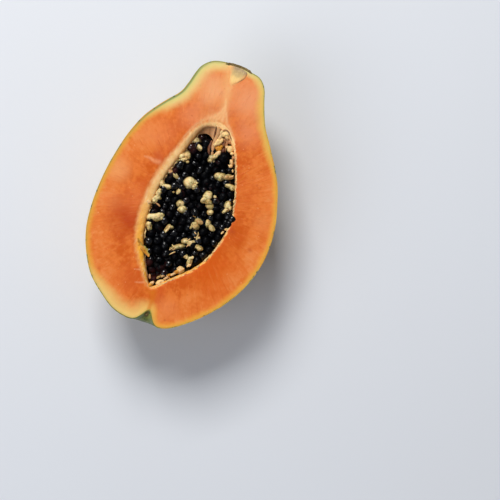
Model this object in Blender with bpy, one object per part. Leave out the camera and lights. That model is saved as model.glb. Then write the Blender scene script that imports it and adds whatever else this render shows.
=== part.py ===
"""Cut half of a papaya that lies on its back with the cut face up, its cavity full of seeds.

Lengths in the tables are millimetres in the fruit's own measure: s runs along the axis from the stem end
to the blossom end, r across it (right positive), z up from the cut face. The scene is in metres, with the
origin at the centre of the small flat spot underneath, +X right, +Y towards the stem end and +Z up.
"""

import math

import bmesh
import bpy
import numpy as np

MM = 0.001

# Section outlines of the two sides from the stem scar to the dimple at the blossom end, as (s, r)
LEFT_SIDE = [
    (-1.0, 0.0), (0.2, 8.8), (2.1, 15.5), (6.4, 20.3), (11.5, 22.6), (18.8, 24.5), (25.5, 27.1),
    (32.8, 33.2), (39.7, 38.4), (46.5, 42.6), (56.9, 46.7), (67.3, 49.4), (80.0, 51.7), (93.0, 52.8),
    (106.0, 52.7), (119.0, 50.9), (131.0, 46.4), (143.0, 38.9), (152.5, 27.6), (157.3, 19.5),
    (159.1, 11.0), (158.2, 6.4), (155.2, 3.4), (151.6, 1.2), (150.4, 0.0),
]
RIGHT_SIDE = [
    (-1.0, 0.0), (0.6, 7.6), (1.6, 12.6), (4.0, 16.0), (8.0, 18.7), (15.0, 21.1), (22.4, 24.0),
    (29.0, 27.2), (36.0, 32.0), (43.0, 36.6), (50.0, 41.1), (58.0, 45.2), (68.0, 48.7), (79.0, 51.7),
    (90.0, 52.9), (101.0, 52.5), (113.0, 49.8), (124.0, 45.1), (134.0, 38.8), (143.5, 30.6),
    (150.5, 23.0), (156.0, 15.6), (158.5, 9.2), (158.0, 5.6), (155.4, 3.2), (151.6, 1.0), (150.4, 0.0),
]
SIDE_STATIONS = 40
ROUND_STEPS = 48
RIDGES = 5
RIDGE_HEIGHT = 0.016
FLAT_DEPTH = 1.3

# Rim of the cavity in the cut face and the foot of its sloping lining, as (s, r) round the middle
CAVITY_MIDDLE = (86.0, 0.0)
CAVITY_RIM = [
    (34.3, 0.0), (36.6, 7.4), (42.0, 12.4), (50.0, 16.6), (58.0, 19.8), (67.0, 22.9), (76.0, 25.5),
    (84.0, 27.2), (92.0, 26.9), (100.0, 25.4), (110.0, 22.3), (120.0, 16.4), (130.5, 5.6),
    (138.4, -2.6), (137.0, -7.4), (130.0, -13.4), (120.0, -20.2), (110.0, -24.2), (100.0, -25.9),
    (90.0, -26.1), (80.0, -25.2), (70.0, -23.3), (60.0, -20.0), (50.0, -16.0), (41.5, -12.2),
    (36.0, -7.6),
]
CAVITY_FOOT = [
    (38.4, 0.0), (39.6, 6.2), (43.8, 11.4), (50.5, 15.6), (58.5, 19.0), (67.0, 22.1), (76.0, 24.8),
    (84.0, 26.5), (92.0, 26.1), (100.0, 24.6), (109.5, 21.4), (119.0, 15.4), (129.0, 5.2),
    (136.6, -2.8), (136.0, -6.2), (129.5, -10.0), (120.0, -14.8), (110.0, -18.4), (100.0, -19.9),
    (90.0, -20.2), (80.0, -19.4), (70.0, -17.2), (60.0, -13.8), (50.0, -10.6), (43.5, -8.4),
    (39.6, -5.4),
]
# Rings of the cavity from above the cut face down, as (z, share of rim to foot, scale about the middle)
CAVITY_RINGS = [
    (4.4, -0.8, 1.0), (-5.5, 1.0, 1.0), (-11.0, 1.0, 1.0), (-16.5, 1.0, 0.93), (-20.5, 1.0, 0.77),
    (-23.0, 1.0, 0.5), (-24.2, 1.0, 0.22),
]
CAVITY_STEPS = 52
CAVITY_FLOOR = -24.6

# Heap of seeds over a smaller core
SEED_COUNT = 134
SEED_RADIUS = (2.05, 2.4)
SEED_STRETCH = 1.12
SEED_PITCH = (4.3, 5.9)
SEED_SEGMENTS = 6
SEED_RINGS = 4
SEED_WALL_GAP = 0.55
HEAP_TOP = -4.2
HEAP_ROUGH = 1.7
POCKET_DROP = 4.6
CORE_STEPS = 26
CORE_INSET = 1.4
CORE_SINK = 0.9
RELAX_STEPS = 240
RANDOM_SEED = 11

# Pale undeveloped seeds at their places in the heap, as (s, r, half length, half width, turn in degrees)
PALE_SEEDS = [
    (73.2, -3.4, 3.5, 3.0, 20), (87.5, -3.7, 3.1, 2.3, 100), (77.2, 9.2, 3.5, 2.6, 50),
    (98.3, -16.1, 4.2, 2.2, 20), (86.9, -17.6, 3.2, 2.3, 65), (79.5, -15.6, 3.0, 1.8, 0),
    (59.7, -9.6, 3.3, 2.2, 15), (49.5, -6.4, 2.8, 2.0, -15), (63.4, 11.5, 2.7, 2.2, 20),
    (62.1, 16.6, 2.7, 1.6, 20), (67.8, 19.4, 2.3, 1.5, -10), (79.2, 21.4, 2.6, 1.8, 100),
    (84.8, 13.8, 1.9, 1.6, 20), (94.9, 8.3, 2.6, 2.3, 0), (92.8, 15.6, 3.3, 2.1, -20),
    (108.3, 6.0, 3.6, 2.1, 40), (111.5, -0.6, 3.0, 1.7, 35), (115.5, 11.2, 3.0, 1.6, -30),
    (104.3, -16.4, 2.2, 1.8, 90), (55.2, 3.5, 2.6, 1.9, 10), (101.9, -5.8, 2.4, 1.6, 60),
    (80.3, -9.4, 1.8, 1.6, 0), (131.4, -1.4, 3.0, 1.7, 50), (70.8, -12.6, 2.8, 1.5, -30),
]

FRUIT_COLOUR = (0.72, 0.18, 0.04, 1.0)
SEED_COLOUR = (0.012, 0.011, 0.010, 1.0)


def material(name, colour, roughness):
    """A Principled material with a plain colour and roughness."""
    made = bpy.data.materials.new(name)
    made.use_nodes = True
    shader = made.node_tree.nodes["Principled BSDF"]
    shader.inputs["Base Color"].default_value = colour
    shader.inputs["Roughness"].default_value = roughness
    shader.inputs["Metallic"].default_value = 0.0
    made.diffuse_color = colour
    return made


def mesh_object(name, bm):
    """A new object in the scene that takes over the bmesh."""
    bmesh.ops.recalc_face_normals(bm, faces=bm.faces[:])
    mesh = bpy.data.meshes.new(name)
    bm.to_mesh(mesh)
    bm.free()
    made = bpy.data.objects.new(name, mesh)
    bpy.context.scene.collection.objects.link(made)
    return made


def rounded(points, closed=False, steps=12):
    """The points joined by a smooth Catmull-Rom curve, as a dense array."""
    points = np.array(points, float)
    if closed:
        padded = np.vstack([points[-1:], points, points[:2]])
    else:
        padded = np.vstack([2 * points[0] - points[1], points, 2 * points[-1] - points[-2]])
    before, start, end, after = padded[:-3], padded[1:-2], padded[2:-1], padded[3:]
    t = (np.arange(steps) / steps)[None, :, None]
    before, start, end, after = (part[:, None] for part in (before, start, end, after))
    curve = 0.5 * (
        2 * start + (end - before) * t + (2 * before - 5 * start + 4 * end - after) * t**2
        + (3 * start - before - 3 * end + after) * t**3
    )
    curve = curve.reshape(-1, 2)
    return curve if closed else np.vstack([curve, points[-1:]])


def even(curve, count):
    """The curve sampled at count points that are evenly spaced along it."""
    lengths = np.concatenate([[0.0], np.cumsum(np.hypot(*np.diff(curve, axis=0).T))])
    wanted = np.linspace(0.0, lengths[-1], count)
    return np.column_stack([np.interp(wanted, lengths, curve[:, i]) for i in range(2)])


def polar_radius(outline, angle):
    """Distance from the cavity's middle to the outline in the direction of each angle."""
    offset = rounded(outline, closed=True) - CAVITY_MIDDLE
    angles = np.arctan2(offset[:, 1], offset[:, 0])
    order = np.argsort(angles)
    return np.interp(angle, angles[order], np.hypot(*offset.T)[order], period=2 * math.pi)


def ring(bm, points):
    """A closed loop of vertices and edges through the points, given as (x, y, z) in millimetres."""
    verts = [bm.verts.new([value * MM for value in point]) for point in points]
    return [bm.edges.new((verts[i - 1], verts[i])) for i in range(len(verts))]


def cap(bm, loop, point):
    """Closes the loop with a fan of triangles to one pole."""
    pole = bm.verts.new([value * MM for value in point])
    for edge in loop:
        bm.faces.new((*edge.verts, pole))


def loft(name, rings, first_pole, last_pole):
    """A closed solid through the rings, with a pole at each end."""
    bm = bmesh.new()
    loops = [ring(bm, points) for points in rings]
    for lower, upper in zip(loops, loops[1:]):
        bmesh.ops.bridge_loops(bm, edges=lower + upper)
    cap(bm, loops[0], first_pole)
    cap(bm, loops[-1], last_pole)
    return mesh_object(name, bm)


def whole_fruit():
    """The fruit before it is cut: each meridian is a blend of the two section outlines."""
    left = even(rounded(LEFT_SIDE), SIDE_STATIONS)
    right = even(rounded(RIGHT_SIDE), SIDE_STATIONS)
    turn = 2 * math.pi * np.arange(ROUND_STEPS) / ROUND_STEPS
    share = (0.5 - 0.5 * np.cos(turn))[:, None]
    rings = []
    for station in range(1, SIDE_STATIONS - 1):
        along, across = (share * left[station] + (1 - share) * right[station]).T
        across = across * (1 + RIDGE_HEIGHT * np.sin(turn) ** 2 * np.cos(RIDGES * turn))
        rings.append(np.column_stack([across * np.cos(turn), -along, across * np.sin(turn)]))
    poles = [(0.0, -side[0], 0.0) for side in (LEFT_SIDE[0], LEFT_SIDE[-1])]
    return loft("fruit_half", rings, *poles)


def slice_off(obj, height, keep_above):
    """Cuts the object at a height in millimetres, closes the cut and returns the cut's centre."""
    bm = bmesh.new()
    bm.from_mesh(obj.data)
    geometry = bm.verts[:] + bm.edges[:] + bm.faces[:]
    found = bmesh.ops.bisect_plane(
        bm, geom=geometry, dist=1e-7, plane_co=(0, 0, height * MM), plane_no=(0, 0, 1),
        clear_inner=keep_above, clear_outer=not keep_above,
    )
    edges = [item for item in found["geom_cut"] if isinstance(item, bmesh.types.BMEdge)]
    face = bmesh.ops.contextual_create(bm, geom=edges)["faces"][0]
    centre = face.calc_center_median_weighted()
    bmesh.ops.recalc_face_normals(bm, faces=bm.faces[:])
    bm.to_mesh(obj.data)
    bm.free()
    return centre


def boolean(obj, operation, solver, other):
    """Applies one Boolean with an object or a collection and removes what it was given."""
    cut = obj.modifiers.new(operation.lower(), "BOOLEAN")
    cut.operation = operation
    cut.solver = solver
    tools = [other]
    if isinstance(other, bpy.types.Collection):
        cut.operand_type = "COLLECTION"
        cut.collection = other
        tools = list(other.objects)
    else:
        cut.object = other
    graph = bpy.context.evaluated_depsgraph_get()
    mesh = bpy.data.meshes.new_from_object(obj.evaluated_get(graph))
    obj.modifiers.clear()
    obj.data = mesh
    for tool in tools:
        bpy.data.objects.remove(tool)
    if other not in tools:
        bpy.data.collections.remove(other)


def cavity_ring(angle, height, share, scale, inset=0.0):
    """One ring of the cavity, or of a body inside it, as (x, y, z)."""
    radius = (1 - share) * polar_radius(CAVITY_RIM, angle) + share * polar_radius(CAVITY_FOOT, angle)
    radius = (radius - inset) * scale
    along = CAVITY_MIDDLE[0] + radius * np.cos(angle)
    across = CAVITY_MIDDLE[1] + radius * np.sin(angle)
    return np.column_stack([across, -along, np.full_like(angle, 1.0) * height])


def rim_angles(count):
    """Directions from the middle to points that are evenly spaced along the rim."""
    curve = rounded(CAVITY_RIM, closed=True)
    offset = even(np.vstack([curve, curve[:1]]), count + 1)[:-1] - CAVITY_MIDDLE
    return np.arctan2(offset[:, 1], offset[:, 0])


def cavity():
    """The hollow for the seeds, with a sloping lining on the left and a steep wall on the right."""
    angle = rim_angles(CAVITY_STEPS)
    rings = [cavity_ring(angle, *values) for values in CAVITY_RINGS]
    middle = (CAVITY_MIDDLE[1], -CAVITY_MIDDLE[0])
    return loft("cavity", rings, (*middle, CAVITY_RINGS[0][0]), (*middle, CAVITY_FLOOR))


def heap_height(along):
    """Height of the seeds' centres: a low crown that drops into a pocket at the cavity's stem end."""
    near = np.clip((52.0 - along) / 13.0, 0.0, 1.0)
    return HEAP_TOP - POCKET_DROP * near**2 * (3 - 2 * near) - ((along - CAVITY_MIDDLE[0]) / 60.0) ** 2


def core():
    """The smaller body under the seeds that holds them together."""
    angle = rim_angles(CORE_STEPS)
    rings = [cavity_ring(angle, z, share, scale, CORE_INSET) for z, share, scale in CAVITY_RINGS[:1:-1]]
    for points in rings:
        points[:, 2] += CORE_INSET / 2
    for scale in (1.0, 0.9, 0.8, 0.68, 0.4):
        top = cavity_ring(angle, 0.0, 1.0, scale, CORE_INSET)
        top[:, 2] = heap_height(-top[:, 1]) - CORE_SINK
        rings.append(top)
    middle = (CAVITY_MIDDLE[1], -CAVITY_MIDDLE[0])
    return loft("seed_mass", rings, (*middle, CAVITY_FLOOR + CORE_INSET / 2), (*middle, HEAP_TOP - CORE_SINK))


def keep_inside(points, insets):
    """Moves points (s, r) that are nearer to the foot of the cavity's wall than their inset inwards."""
    wall = rounded(CAVITY_FOOT, closed=True)
    tangent = np.roll(wall, -1, axis=0) - np.roll(wall, 1, axis=0)
    inward = np.column_stack([-tangent[:, 1], tangent[:, 0]]) / np.hypot(*tangent.T)[:, None]
    inward *= np.sign((inward[0] * (CAVITY_MIDDLE - wall[0])).sum())
    gap = points[:, None] - wall[None]
    nearest = np.hypot(gap[..., 0], gap[..., 1]).argmin(axis=1)
    depth = ((points - wall[nearest]) * inward[nearest]).sum(axis=1)
    return points + inward[nearest] * np.clip(insets - depth, 0.0, None)[:, None]


def scatter_seeds(rng):
    """Seed centres (s, r), pale ones first: random points pushed apart until they fill the heap evenly."""
    angle = rng.uniform(-math.pi, math.pi, SEED_COUNT)
    reach = np.sqrt(rng.uniform(0.0, 1.0, SEED_COUNT)) * polar_radius(CAVITY_FOOT, angle)
    loose = CAVITY_MIDDLE + np.column_stack([reach * np.cos(angle), reach * np.sin(angle)])
    pale = np.array([seed[:2] for seed in PALE_SEEDS])
    insets = np.array([seed[2] for seed in PALE_SEEDS] + [SEED_RADIUS[1] * SEED_STRETCH] * SEED_COUNT)
    room = np.array([seed[2] + seed[3] for seed in PALE_SEEDS] + list(rng.uniform(*SEED_PITCH, SEED_COUNT)))
    points = keep_inside(np.vstack([pale, loose]), insets + SEED_WALL_GAP)
    pale = points[: len(pale)]
    for _ in range(RELAX_STEPS):
        gap = points[:, None] - points[None]
        distance = np.maximum(np.hypot(gap[..., 0], gap[..., 1]), 1e-6)
        push = np.clip((room[:, None] + room[None]) / 2 - distance, 0.0, None) / distance
        points = points + 0.3 * (gap * push[..., None]).sum(axis=1)
        points = np.round(keep_inside(points, insets + SEED_WALL_GAP), 7)
        points[: len(pale)] = pale
    for _ in range(4):
        points = np.round(keep_inside(points, insets + SEED_WALL_GAP), 7)
    return points


def seed(name, centre, half_sizes, turns):
    """One seed as an ellipsoid with few sides."""
    bm = bmesh.new()
    bmesh.ops.create_uvsphere(bm, u_segments=SEED_SEGMENTS, v_segments=SEED_RINGS, radius=1.0)
    made = mesh_object(name, bm)
    made.scale = [size * MM for size in half_sizes]
    made.rotation_euler = turns
    made.location = [value * MM for value in centre]
    return made


def seed_heap():
    """All seeds of the heap, black and pale, fused with the core."""
    rng = np.random.default_rng(RANDOM_SEED)
    seeds = bpy.data.collections.new("seeds")
    bpy.context.scene.collection.children.link(seeds)
    made = []
    points = scatter_seeds(rng)
    for (along, across), (_, _, length, width, turn) in zip(points, PALE_SEEDS):
        centre = (across, -along, heap_height(along) - 0.4)
        turns = (0.0, 0.0, math.radians(turn))
        made.append(seed("pale_seed", centre, (length, width, width), turns))
    for along, across in points[len(PALE_SEEDS) :]:
        size = rng.uniform(*SEED_RADIUS)
        height = heap_height(along) - rng.uniform(0.0, HEAP_ROUGH)
        turns = rng.uniform(-0.5, 0.5), rng.uniform(-0.5, 0.5), rng.uniform(0.0, math.pi)
        centre = (across, -along, height)
        made.append(seed("seed", centre, (size * SEED_STRETCH, size, size), turns))
    for obj in made:
        bpy.context.scene.collection.objects.unlink(obj)
        seeds.objects.link(obj)
    heap = core()
    boolean(heap, "UNION", "MANIFOLD", seeds)
    return heap


def finish(obj, name, colour, roughness, sharp_degrees):
    """Gives the object its material, smooth shading and sharp edges."""
    obj.data.materials.clear()
    obj.data.materials.append(material(name, colour, roughness))
    obj.data.shade_smooth()
    obj.data.set_sharp_from_angle(angle=math.radians(sharp_degrees))


def main():
    for obj in list(bpy.data.objects):
        bpy.data.objects.remove(obj)

    fruit = whole_fruit()
    slice_off(fruit, 0.0, keep_above=False)
    lowest = min(vertex.co.z for vertex in fruit.data.vertices) / MM
    flat = slice_off(fruit, lowest + FLAT_DEPTH, keep_above=True)
    boolean(fruit, "DIFFERENCE", "EXACT", cavity())
    heap = seed_heap()

    for obj in (fruit, heap):
        for vertex in obj.data.vertices:
            vertex.co -= flat
    finish(fruit, "fruit", FRUIT_COLOUR, 0.45, 28)
    finish(heap, "seeds", SEED_COLOUR, 0.2, 60)


main()
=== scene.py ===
"""The looks of a cut papaya half that lies on its back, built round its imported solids.

Lengths in the tables are millimetres in the fruit's own measure: s runs along the axis from the stem end
to the blossom end, r across it (right positive), and heights count up from the cut face.
"""

import math

import bmesh
import bpy
import numpy as np
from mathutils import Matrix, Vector


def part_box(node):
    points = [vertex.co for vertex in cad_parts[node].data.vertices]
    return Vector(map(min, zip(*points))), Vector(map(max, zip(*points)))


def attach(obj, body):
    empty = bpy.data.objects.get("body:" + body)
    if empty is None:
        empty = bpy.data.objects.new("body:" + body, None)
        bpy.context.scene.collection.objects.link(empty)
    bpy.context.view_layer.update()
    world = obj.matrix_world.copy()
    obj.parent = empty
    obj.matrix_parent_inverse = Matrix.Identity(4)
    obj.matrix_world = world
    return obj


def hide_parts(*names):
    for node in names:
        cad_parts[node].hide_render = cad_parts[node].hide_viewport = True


bl_info = {
    "name": "Papaya half",
    "version": (1, 0, 0),
    "blender": (4, 5, 0),
    "location": "View3D > Sidebar > Papaya",
    "description": "Grows a cut papaya half with its skin, flesh, cavity lining and seeds",
    "category": "Add Mesh",
}

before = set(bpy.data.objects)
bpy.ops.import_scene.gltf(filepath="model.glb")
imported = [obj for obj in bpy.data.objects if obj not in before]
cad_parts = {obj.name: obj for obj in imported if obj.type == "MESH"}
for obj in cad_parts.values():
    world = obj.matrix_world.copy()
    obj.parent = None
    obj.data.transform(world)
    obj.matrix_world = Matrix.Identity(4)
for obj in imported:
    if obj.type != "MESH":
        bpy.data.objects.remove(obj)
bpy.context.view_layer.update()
MM = 0.001

# Where the fruit's own measure lies in the frame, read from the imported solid
STEM_END = max((vertex.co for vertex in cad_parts["fruit_half"].data.vertices), key=lambda co: co.y)
AXIS_X = STEM_END.x / MM
STEM_Y = STEM_END.y / MM - 1.0
FACE_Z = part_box("fruit_half")[1].z / MM

# Section outlines of the two sides from the stem scar to the dimple at the blossom end, as (s, r)
LEFT_SIDE = [
    (-1.0, 0.0), (0.2, 8.8), (2.1, 15.5), (6.4, 20.3), (11.5, 22.6), (18.8, 24.5), (25.5, 27.1), (32.8, 33.2),
    (39.7, 38.4), (46.5, 42.6), (56.9, 46.7), (67.3, 49.4), (80.0, 51.7), (93.0, 52.8), (106.0, 52.7),
    (119.0, 50.9), (131.0, 46.4), (143.0, 38.9), (152.5, 27.6), (157.3, 19.5), (159.1, 11.0), (158.2, 6.4),
    (155.2, 3.4), (151.6, 1.2), (150.4, 0.0),
]
RIGHT_SIDE = [
    (-1.0, 0.0), (0.6, 7.6), (1.6, 12.6), (4.0, 16.0), (8.0, 18.7), (15.0, 21.1), (22.4, 24.0), (29.0, 27.2),
    (36.0, 32.0), (43.0, 36.6), (50.0, 41.1), (58.0, 45.2), (68.0, 48.7), (79.0, 51.7), (90.0, 52.9),
    (101.0, 52.5), (113.0, 49.8), (124.0, 45.1), (134.0, 38.8), (143.5, 30.6), (150.5, 23.0), (156.0, 15.6),
    (158.5, 9.2), (158.0, 5.6), (155.4, 3.2), (151.6, 1.0), (150.4, 0.0),
]
RIDGES = 5
RIDGE_HEIGHT = 0.016

# Rim of the cavity in the cut face and the foot of its sloping lining, as (s, r) round the middle
CAVITY_MIDDLE = (86.0, 0.0)
CAVITY_RIM = [
    (34.3, 0.0), (36.6, 7.4), (42.0, 12.4), (50.0, 16.6), (58.0, 19.8), (67.0, 22.9), (76.0, 25.5),
    (84.0, 27.2), (92.0, 26.9), (100.0, 25.4), (110.0, 22.3), (120.0, 16.4), (130.5, 5.6), (138.4, -2.6),
    (137.0, -7.4), (130.0, -13.4), (120.0, -20.2), (110.0, -24.2), (100.0, -25.9), (90.0, -26.1),
    (80.0, -25.2), (70.0, -23.3), (60.0, -20.0), (50.0, -16.0), (41.5, -12.2), (36.0, -7.6),
]
CAVITY_FOOT = [
    (38.4, 0.0), (39.6, 6.2), (43.8, 11.4), (50.5, 15.6), (58.5, 19.0), (67.0, 22.1), (76.0, 24.8),
    (84.0, 26.5), (92.0, 26.1), (100.0, 24.6), (109.5, 21.4), (119.0, 15.4), (129.0, 5.2), (136.6, -2.8),
    (136.0, -6.2), (129.5, -10.0), (120.0, -14.8), (110.0, -18.4), (100.0, -19.9), (90.0, -20.2),
    (80.0, -19.4), (70.0, -17.2), (60.0, -13.8), (50.0, -10.6), (43.5, -8.4), (39.6, -5.4),
]
# The cavity's wall from the rim down, as (height, share of rim to foot, scale about the middle)
CAVITY_WALL = [
    (0.0, 0.0, 1.0), (-0.1, 0.2, 1.0), (-0.28, 0.42, 1.0), (-0.55, 0.64, 1.0), (-1.0, 0.84, 1.0),
    (-1.8, 0.96, 1.0), (-3.0, 1.0, 1.0), (-5.5, 1.0, 1.0), (-11.0, 1.0, 1.0), (-16.5, 1.0, 0.93),
    (-20.5, 1.0, 0.77), (-23.0, 1.0, 0.5), (-24.2, 1.0, 0.22),
]
CAVITY_FLOOR = -24.6
WALL_WEIGHTS = (1.0, 6.0, 30.0)

# The heap of seeds: seen from above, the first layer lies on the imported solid's seeds but for its spread
SEED_COUNT = 134
SEED_RADIUS = (2.05, 2.4)
SEED_STRETCH = 1.12
SEED_PITCH = (4.3, 5.9)
SEED_WALL_GAP = 0.55
SEED_SPREAD = 1.035
HEAP_TOP = -4.2
HEAP_ROUGH = 1.7
POCKET_DROP = 4.6
RELAX_STEPS = 240
RANDOM_SEED = 11
LOWER_SEEDS = 150
LOWER_DROP = 2.9
BED_DEPTHS = (2.6, 6.0)

# Places that pale undeveloped seeds take in the heap, as (s, r, half length, half width, turn in degrees)
PALE_SEEDS = [
    (73.2, -3.4, 3.5, 3.0, 20), (87.5, -3.7, 3.1, 2.3, 100), (77.2, 9.2, 3.5, 2.6, 50),
    (98.3, -16.1, 4.2, 2.2, 20), (86.9, -17.6, 3.2, 2.3, 65), (79.5, -15.6, 3.0, 1.8, 0),
    (59.7, -9.6, 3.3, 2.2, 15), (49.5, -6.4, 2.8, 2.0, -15), (63.4, 11.5, 2.7, 2.2, 20),
    (62.1, 16.6, 2.7, 1.6, 20), (67.8, 19.4, 2.3, 1.5, -10), (79.2, 21.4, 2.6, 1.8, 100),
    (84.8, 13.8, 1.9, 1.6, 20), (94.9, 8.3, 2.6, 2.3, 0), (92.8, 15.6, 3.3, 2.1, -20),
    (108.3, 6.0, 3.6, 2.1, 40), (111.5, -0.6, 3.0, 1.7, 35), (115.5, 11.2, 3.0, 1.6, -30),
    (104.3, -16.4, 2.2, 1.8, 90), (55.2, 3.5, 2.6, 1.9, 10), (101.9, -5.8, 2.4, 1.6, 60),
    (80.3, -9.4, 1.8, 1.6, 0), (131.4, -1.4, 3.0, 1.7, 50), (70.8, -12.6, 2.8, 1.5, -30),
]
# The lumps that they are made of, as (s, r, half length, half width, turn, tone from 0 for cream over 0.5 for
# olive to 1 for tan)
PALE_LUMPS = [
    (72.9, -4.3, 3.6, 3.1, 40, 0.1), (73.8, -0.5, 1.4, 1.1, 40, 0.0), (71.6, 0.3, 0.8, 0.6, 20, 0.1),
    (86.3, -4.5, 2.1, 1.6, 30, 0.05), (88.9, -2.6, 2.3, 1.7, 8, 0.0), (89.9, -4.3, 1.0, 0.9, 20, 0.1),
    (76.2, 9.0, 2.6, 2.2, 70, 0.05), (79.3, 7.3, 2.0, 1.1, 42, 0.1), (75.5, 12.9, 1.1, 0.9, 20, 0.1),
    (79.6, 10.2, 2.0, 1.4, -10, 0.6), (82.1, 12.2, 2.0, 1.2, 10, 0.55), (84.9, 13.8, 1.6, 1.3, 50, 0.0),
    (89.3, 5.7, 1.6, 1.3, 100, 1.0), (98.6, -16.3, 4.3, 2.0, 20, 0.05), (99.7, -18.7, 1.7, 1.9, 20, 0.05),
    (97.4, -13.7, 1.8, 1.9, 20, 0.1), (103.5, -17.6, 1.8, 1.3, 100, 0.0), (105.8, -17.1, 1.5, 1.0, 120, 0.1),
    (88.1, -19.1, 2.6, 1.4, 42, 0.05), (84.7, -18.9, 1.9, 1.4, 50, 0.1), (90.0, -19.6, 1.4, 0.9, 70, 0.0),
    (78.9, -19.0, 2.0, 1.1, -42, 0.15), (79.5, -15.8, 2.4, 0.9, 12, 0.1), (60.1, -13.6, 2.1, 1.5, 30, 0.15),
    (58.7, -10.5, 1.9, 2.3, 20, 0.0), (61.3, -11.6, 1.9, 0.9, 30, 0.1), (80.4, -7.9, 1.4, 1.3, 40, 0.35),
    (81.4, -10.6, 0.7, 0.5, 20, 0.5), (63.1, -14.5, 1.4, 0.7, 20, 0.5), (62.2, -9.2, 1.1, 0.8, 40, 0.5),
    (48.4, -9.4, 3.0, 2.2, -20, 0.25), (51.1, -6.1, 2.6, 1.1, -32, 0.25), (70.9, -16.5, 1.9, 1.1, -32, 1.0),
    (72.2, -13.3, 2.3, 0.8, -26, 0.4), (63.5, 10.0, 1.9, 1.7, 10, 0.1), (63.4, 12.3, 1.7, 2.0, -10, 0.0),
    (62.1, 16.5, 2.6, 1.3, 22, 0.95), (66.8, 18.1, 2.4, 0.9, 2, 0.1), (67.2, 20.1, 1.5, 1.1, -30, 0.05),
    (77.8, 21.4, 2.1, 1.5, 90, 0.0), (81.3, 21.3, 1.8, 0.8, 50, 0.1), (78.8, 23.2, 1.0, 1.3, 20, 0.1),
    (95.3, 7.7, 2.1, 2.1, 40, 0.0), (92.5, 9.8, 2.4, 1.4, -2, 0.8), (97.3, 5.9, 2.1, 0.6, 52, 0.5),
    (91.5, 14.1, 2.4, 1.5, 100, 0.3), (93.8, 17.2, 1.9, 1.1, -30, 0.35), (102.8, -6.3, 2.6, 0.7, 72, 0.2),
    (100.9, -5.1, 1.4, 0.6, 0, 0.3), (105.8, 9.5, 3.3, 1.9, 2, 0.3), (106.0, 5.8, 1.8, 1.1, 42, 0.25),
    (100.6, 11.3, 2.6, 0.7, 98, 0.4), (110.4, 2.8, 3.6, 0.9, 30, 0.4), (107.1, 14.8, 1.6, 0.9, 0, 0.1),
    (106.6, 12.2, 1.9, 1.3, 20, 0.7), (112.3, -0.2, 1.6, 0.7, 40, 0.5), (115.6, 11.6, 2.3, 1.1, 92, 0.1),
    (114.4, 9.4, 1.4, 0.7, -28, 0.2), (113.7, 12.5, 1.3, 0.8, 50, 0.0), (123.1, 9.8, 1.9, 0.9, 45, 0.7),
    (131.5, 3.7, 2.3, 0.8, 44, 0.3), (128.8, 0.7, 1.8, 0.8, 48, 0.9), (131.0, -1.7, 1.3, 0.7, 50, 0.8),
    (55.1, 3.5, 2.5, 2.0, -10, 0.35), (53.4, 4.9, 2.1, 1.3, 60, 0.1), (56.7, 3.2, 1.4, 1.1, 40, 0.3),
]
# Torn tufts of lining, as (s, r, half length, half width, turn, tone from 0 for brown to 1 for cream, height of
# the top)
TUFTS = [
    (39.5, 5.7, 2.6, 1.8, 20, 1.0, -0.6), (39.2, 3.5, 1.3, 1.0, 50, 0.9, -0.8),
    (40.9, 7.4, 1.0, 1.4, 80, 0.95, -0.9), (44.9, 3.6, 2.4, 2.0, 40, 1.0, -1.5),
    (47.1, 2.4, 1.4, 1.1, 20, 0.9, -2.4), (43.3, 5.1, 1.1, 1.3, 20, 0.95, -1.6),
    (46.6, 11.6, 2.0, 2.1, 80, 0.95, -1.2), (46.2, 9.5, 1.1, 0.9, 20, 0.8, -1.6),
    (48.7, 13.6, 0.8, 1.3, 110, 0.9, -1.2), (51.5, 5.6, 2.3, 1.3, 58, 0.8, -2.4),
    (53.4, 15.0, 1.0, 1.9, 40, 0.8, -1.2), (55.8, 15.2, 1.1, 0.9, 20, 0.9, -1.2),
    (50.9, 14.8, 0.6, 1.6, 20, 0.5, -1.6), (58.0, 17.4, 0.5, 0.9, 20, 0.9, -1.0),
    (91.7, -22.3, 1.5, 1.3, 20, 0.8, -0.7), (91.2, -17.0, 2.1, 0.5, -20, 0.5, -1.4),
    (91.2, 25.4, 0.9, 0.6, 50, 0.9, -0.8), (93.8, 24.2, 1.1, 0.5, 65, 0.9, -0.8),
    (133.4, 0.2, 2.8, 1.5, 42, 0.95, -1.0), (122.3, 8.5, 2.2, 1.7, 70, 0.85, -1.2),
    (42.4, 6.6, 1.5, 1.6, 80, 0.3, -2.8), (45.2, 7.0, 1.8, 1.4, 80, 0.12, -3.2),
    (48.4, 8.0, 1.6, 1.3, 60, 0.02, -3.4), (42.6, 9.8, 1.2, 1.6, 70, 0.35, -2.2),
    (118.4, 12.6, 1.5, 0.8, 45, 0.9, -0.9), (126.4, 5.6, 1.8, 0.8, 48, 0.8, -0.9),
    (129.8, 2.6, 1.7, 0.7, 50, 0.6, -0.9), (135.6, -4.2, 1.8, 1.0, 60, 0.7, -1.0),
    (124.8, 6.4, 1.2, 0.7, 20, 0.3, -1.4), (132.4, -6.6, 1.4, 0.7, 110, 0.4, -1.2),
    (61.0, 18.4, 0.9, 0.5, 60, 0.8, -0.9),
]
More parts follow.
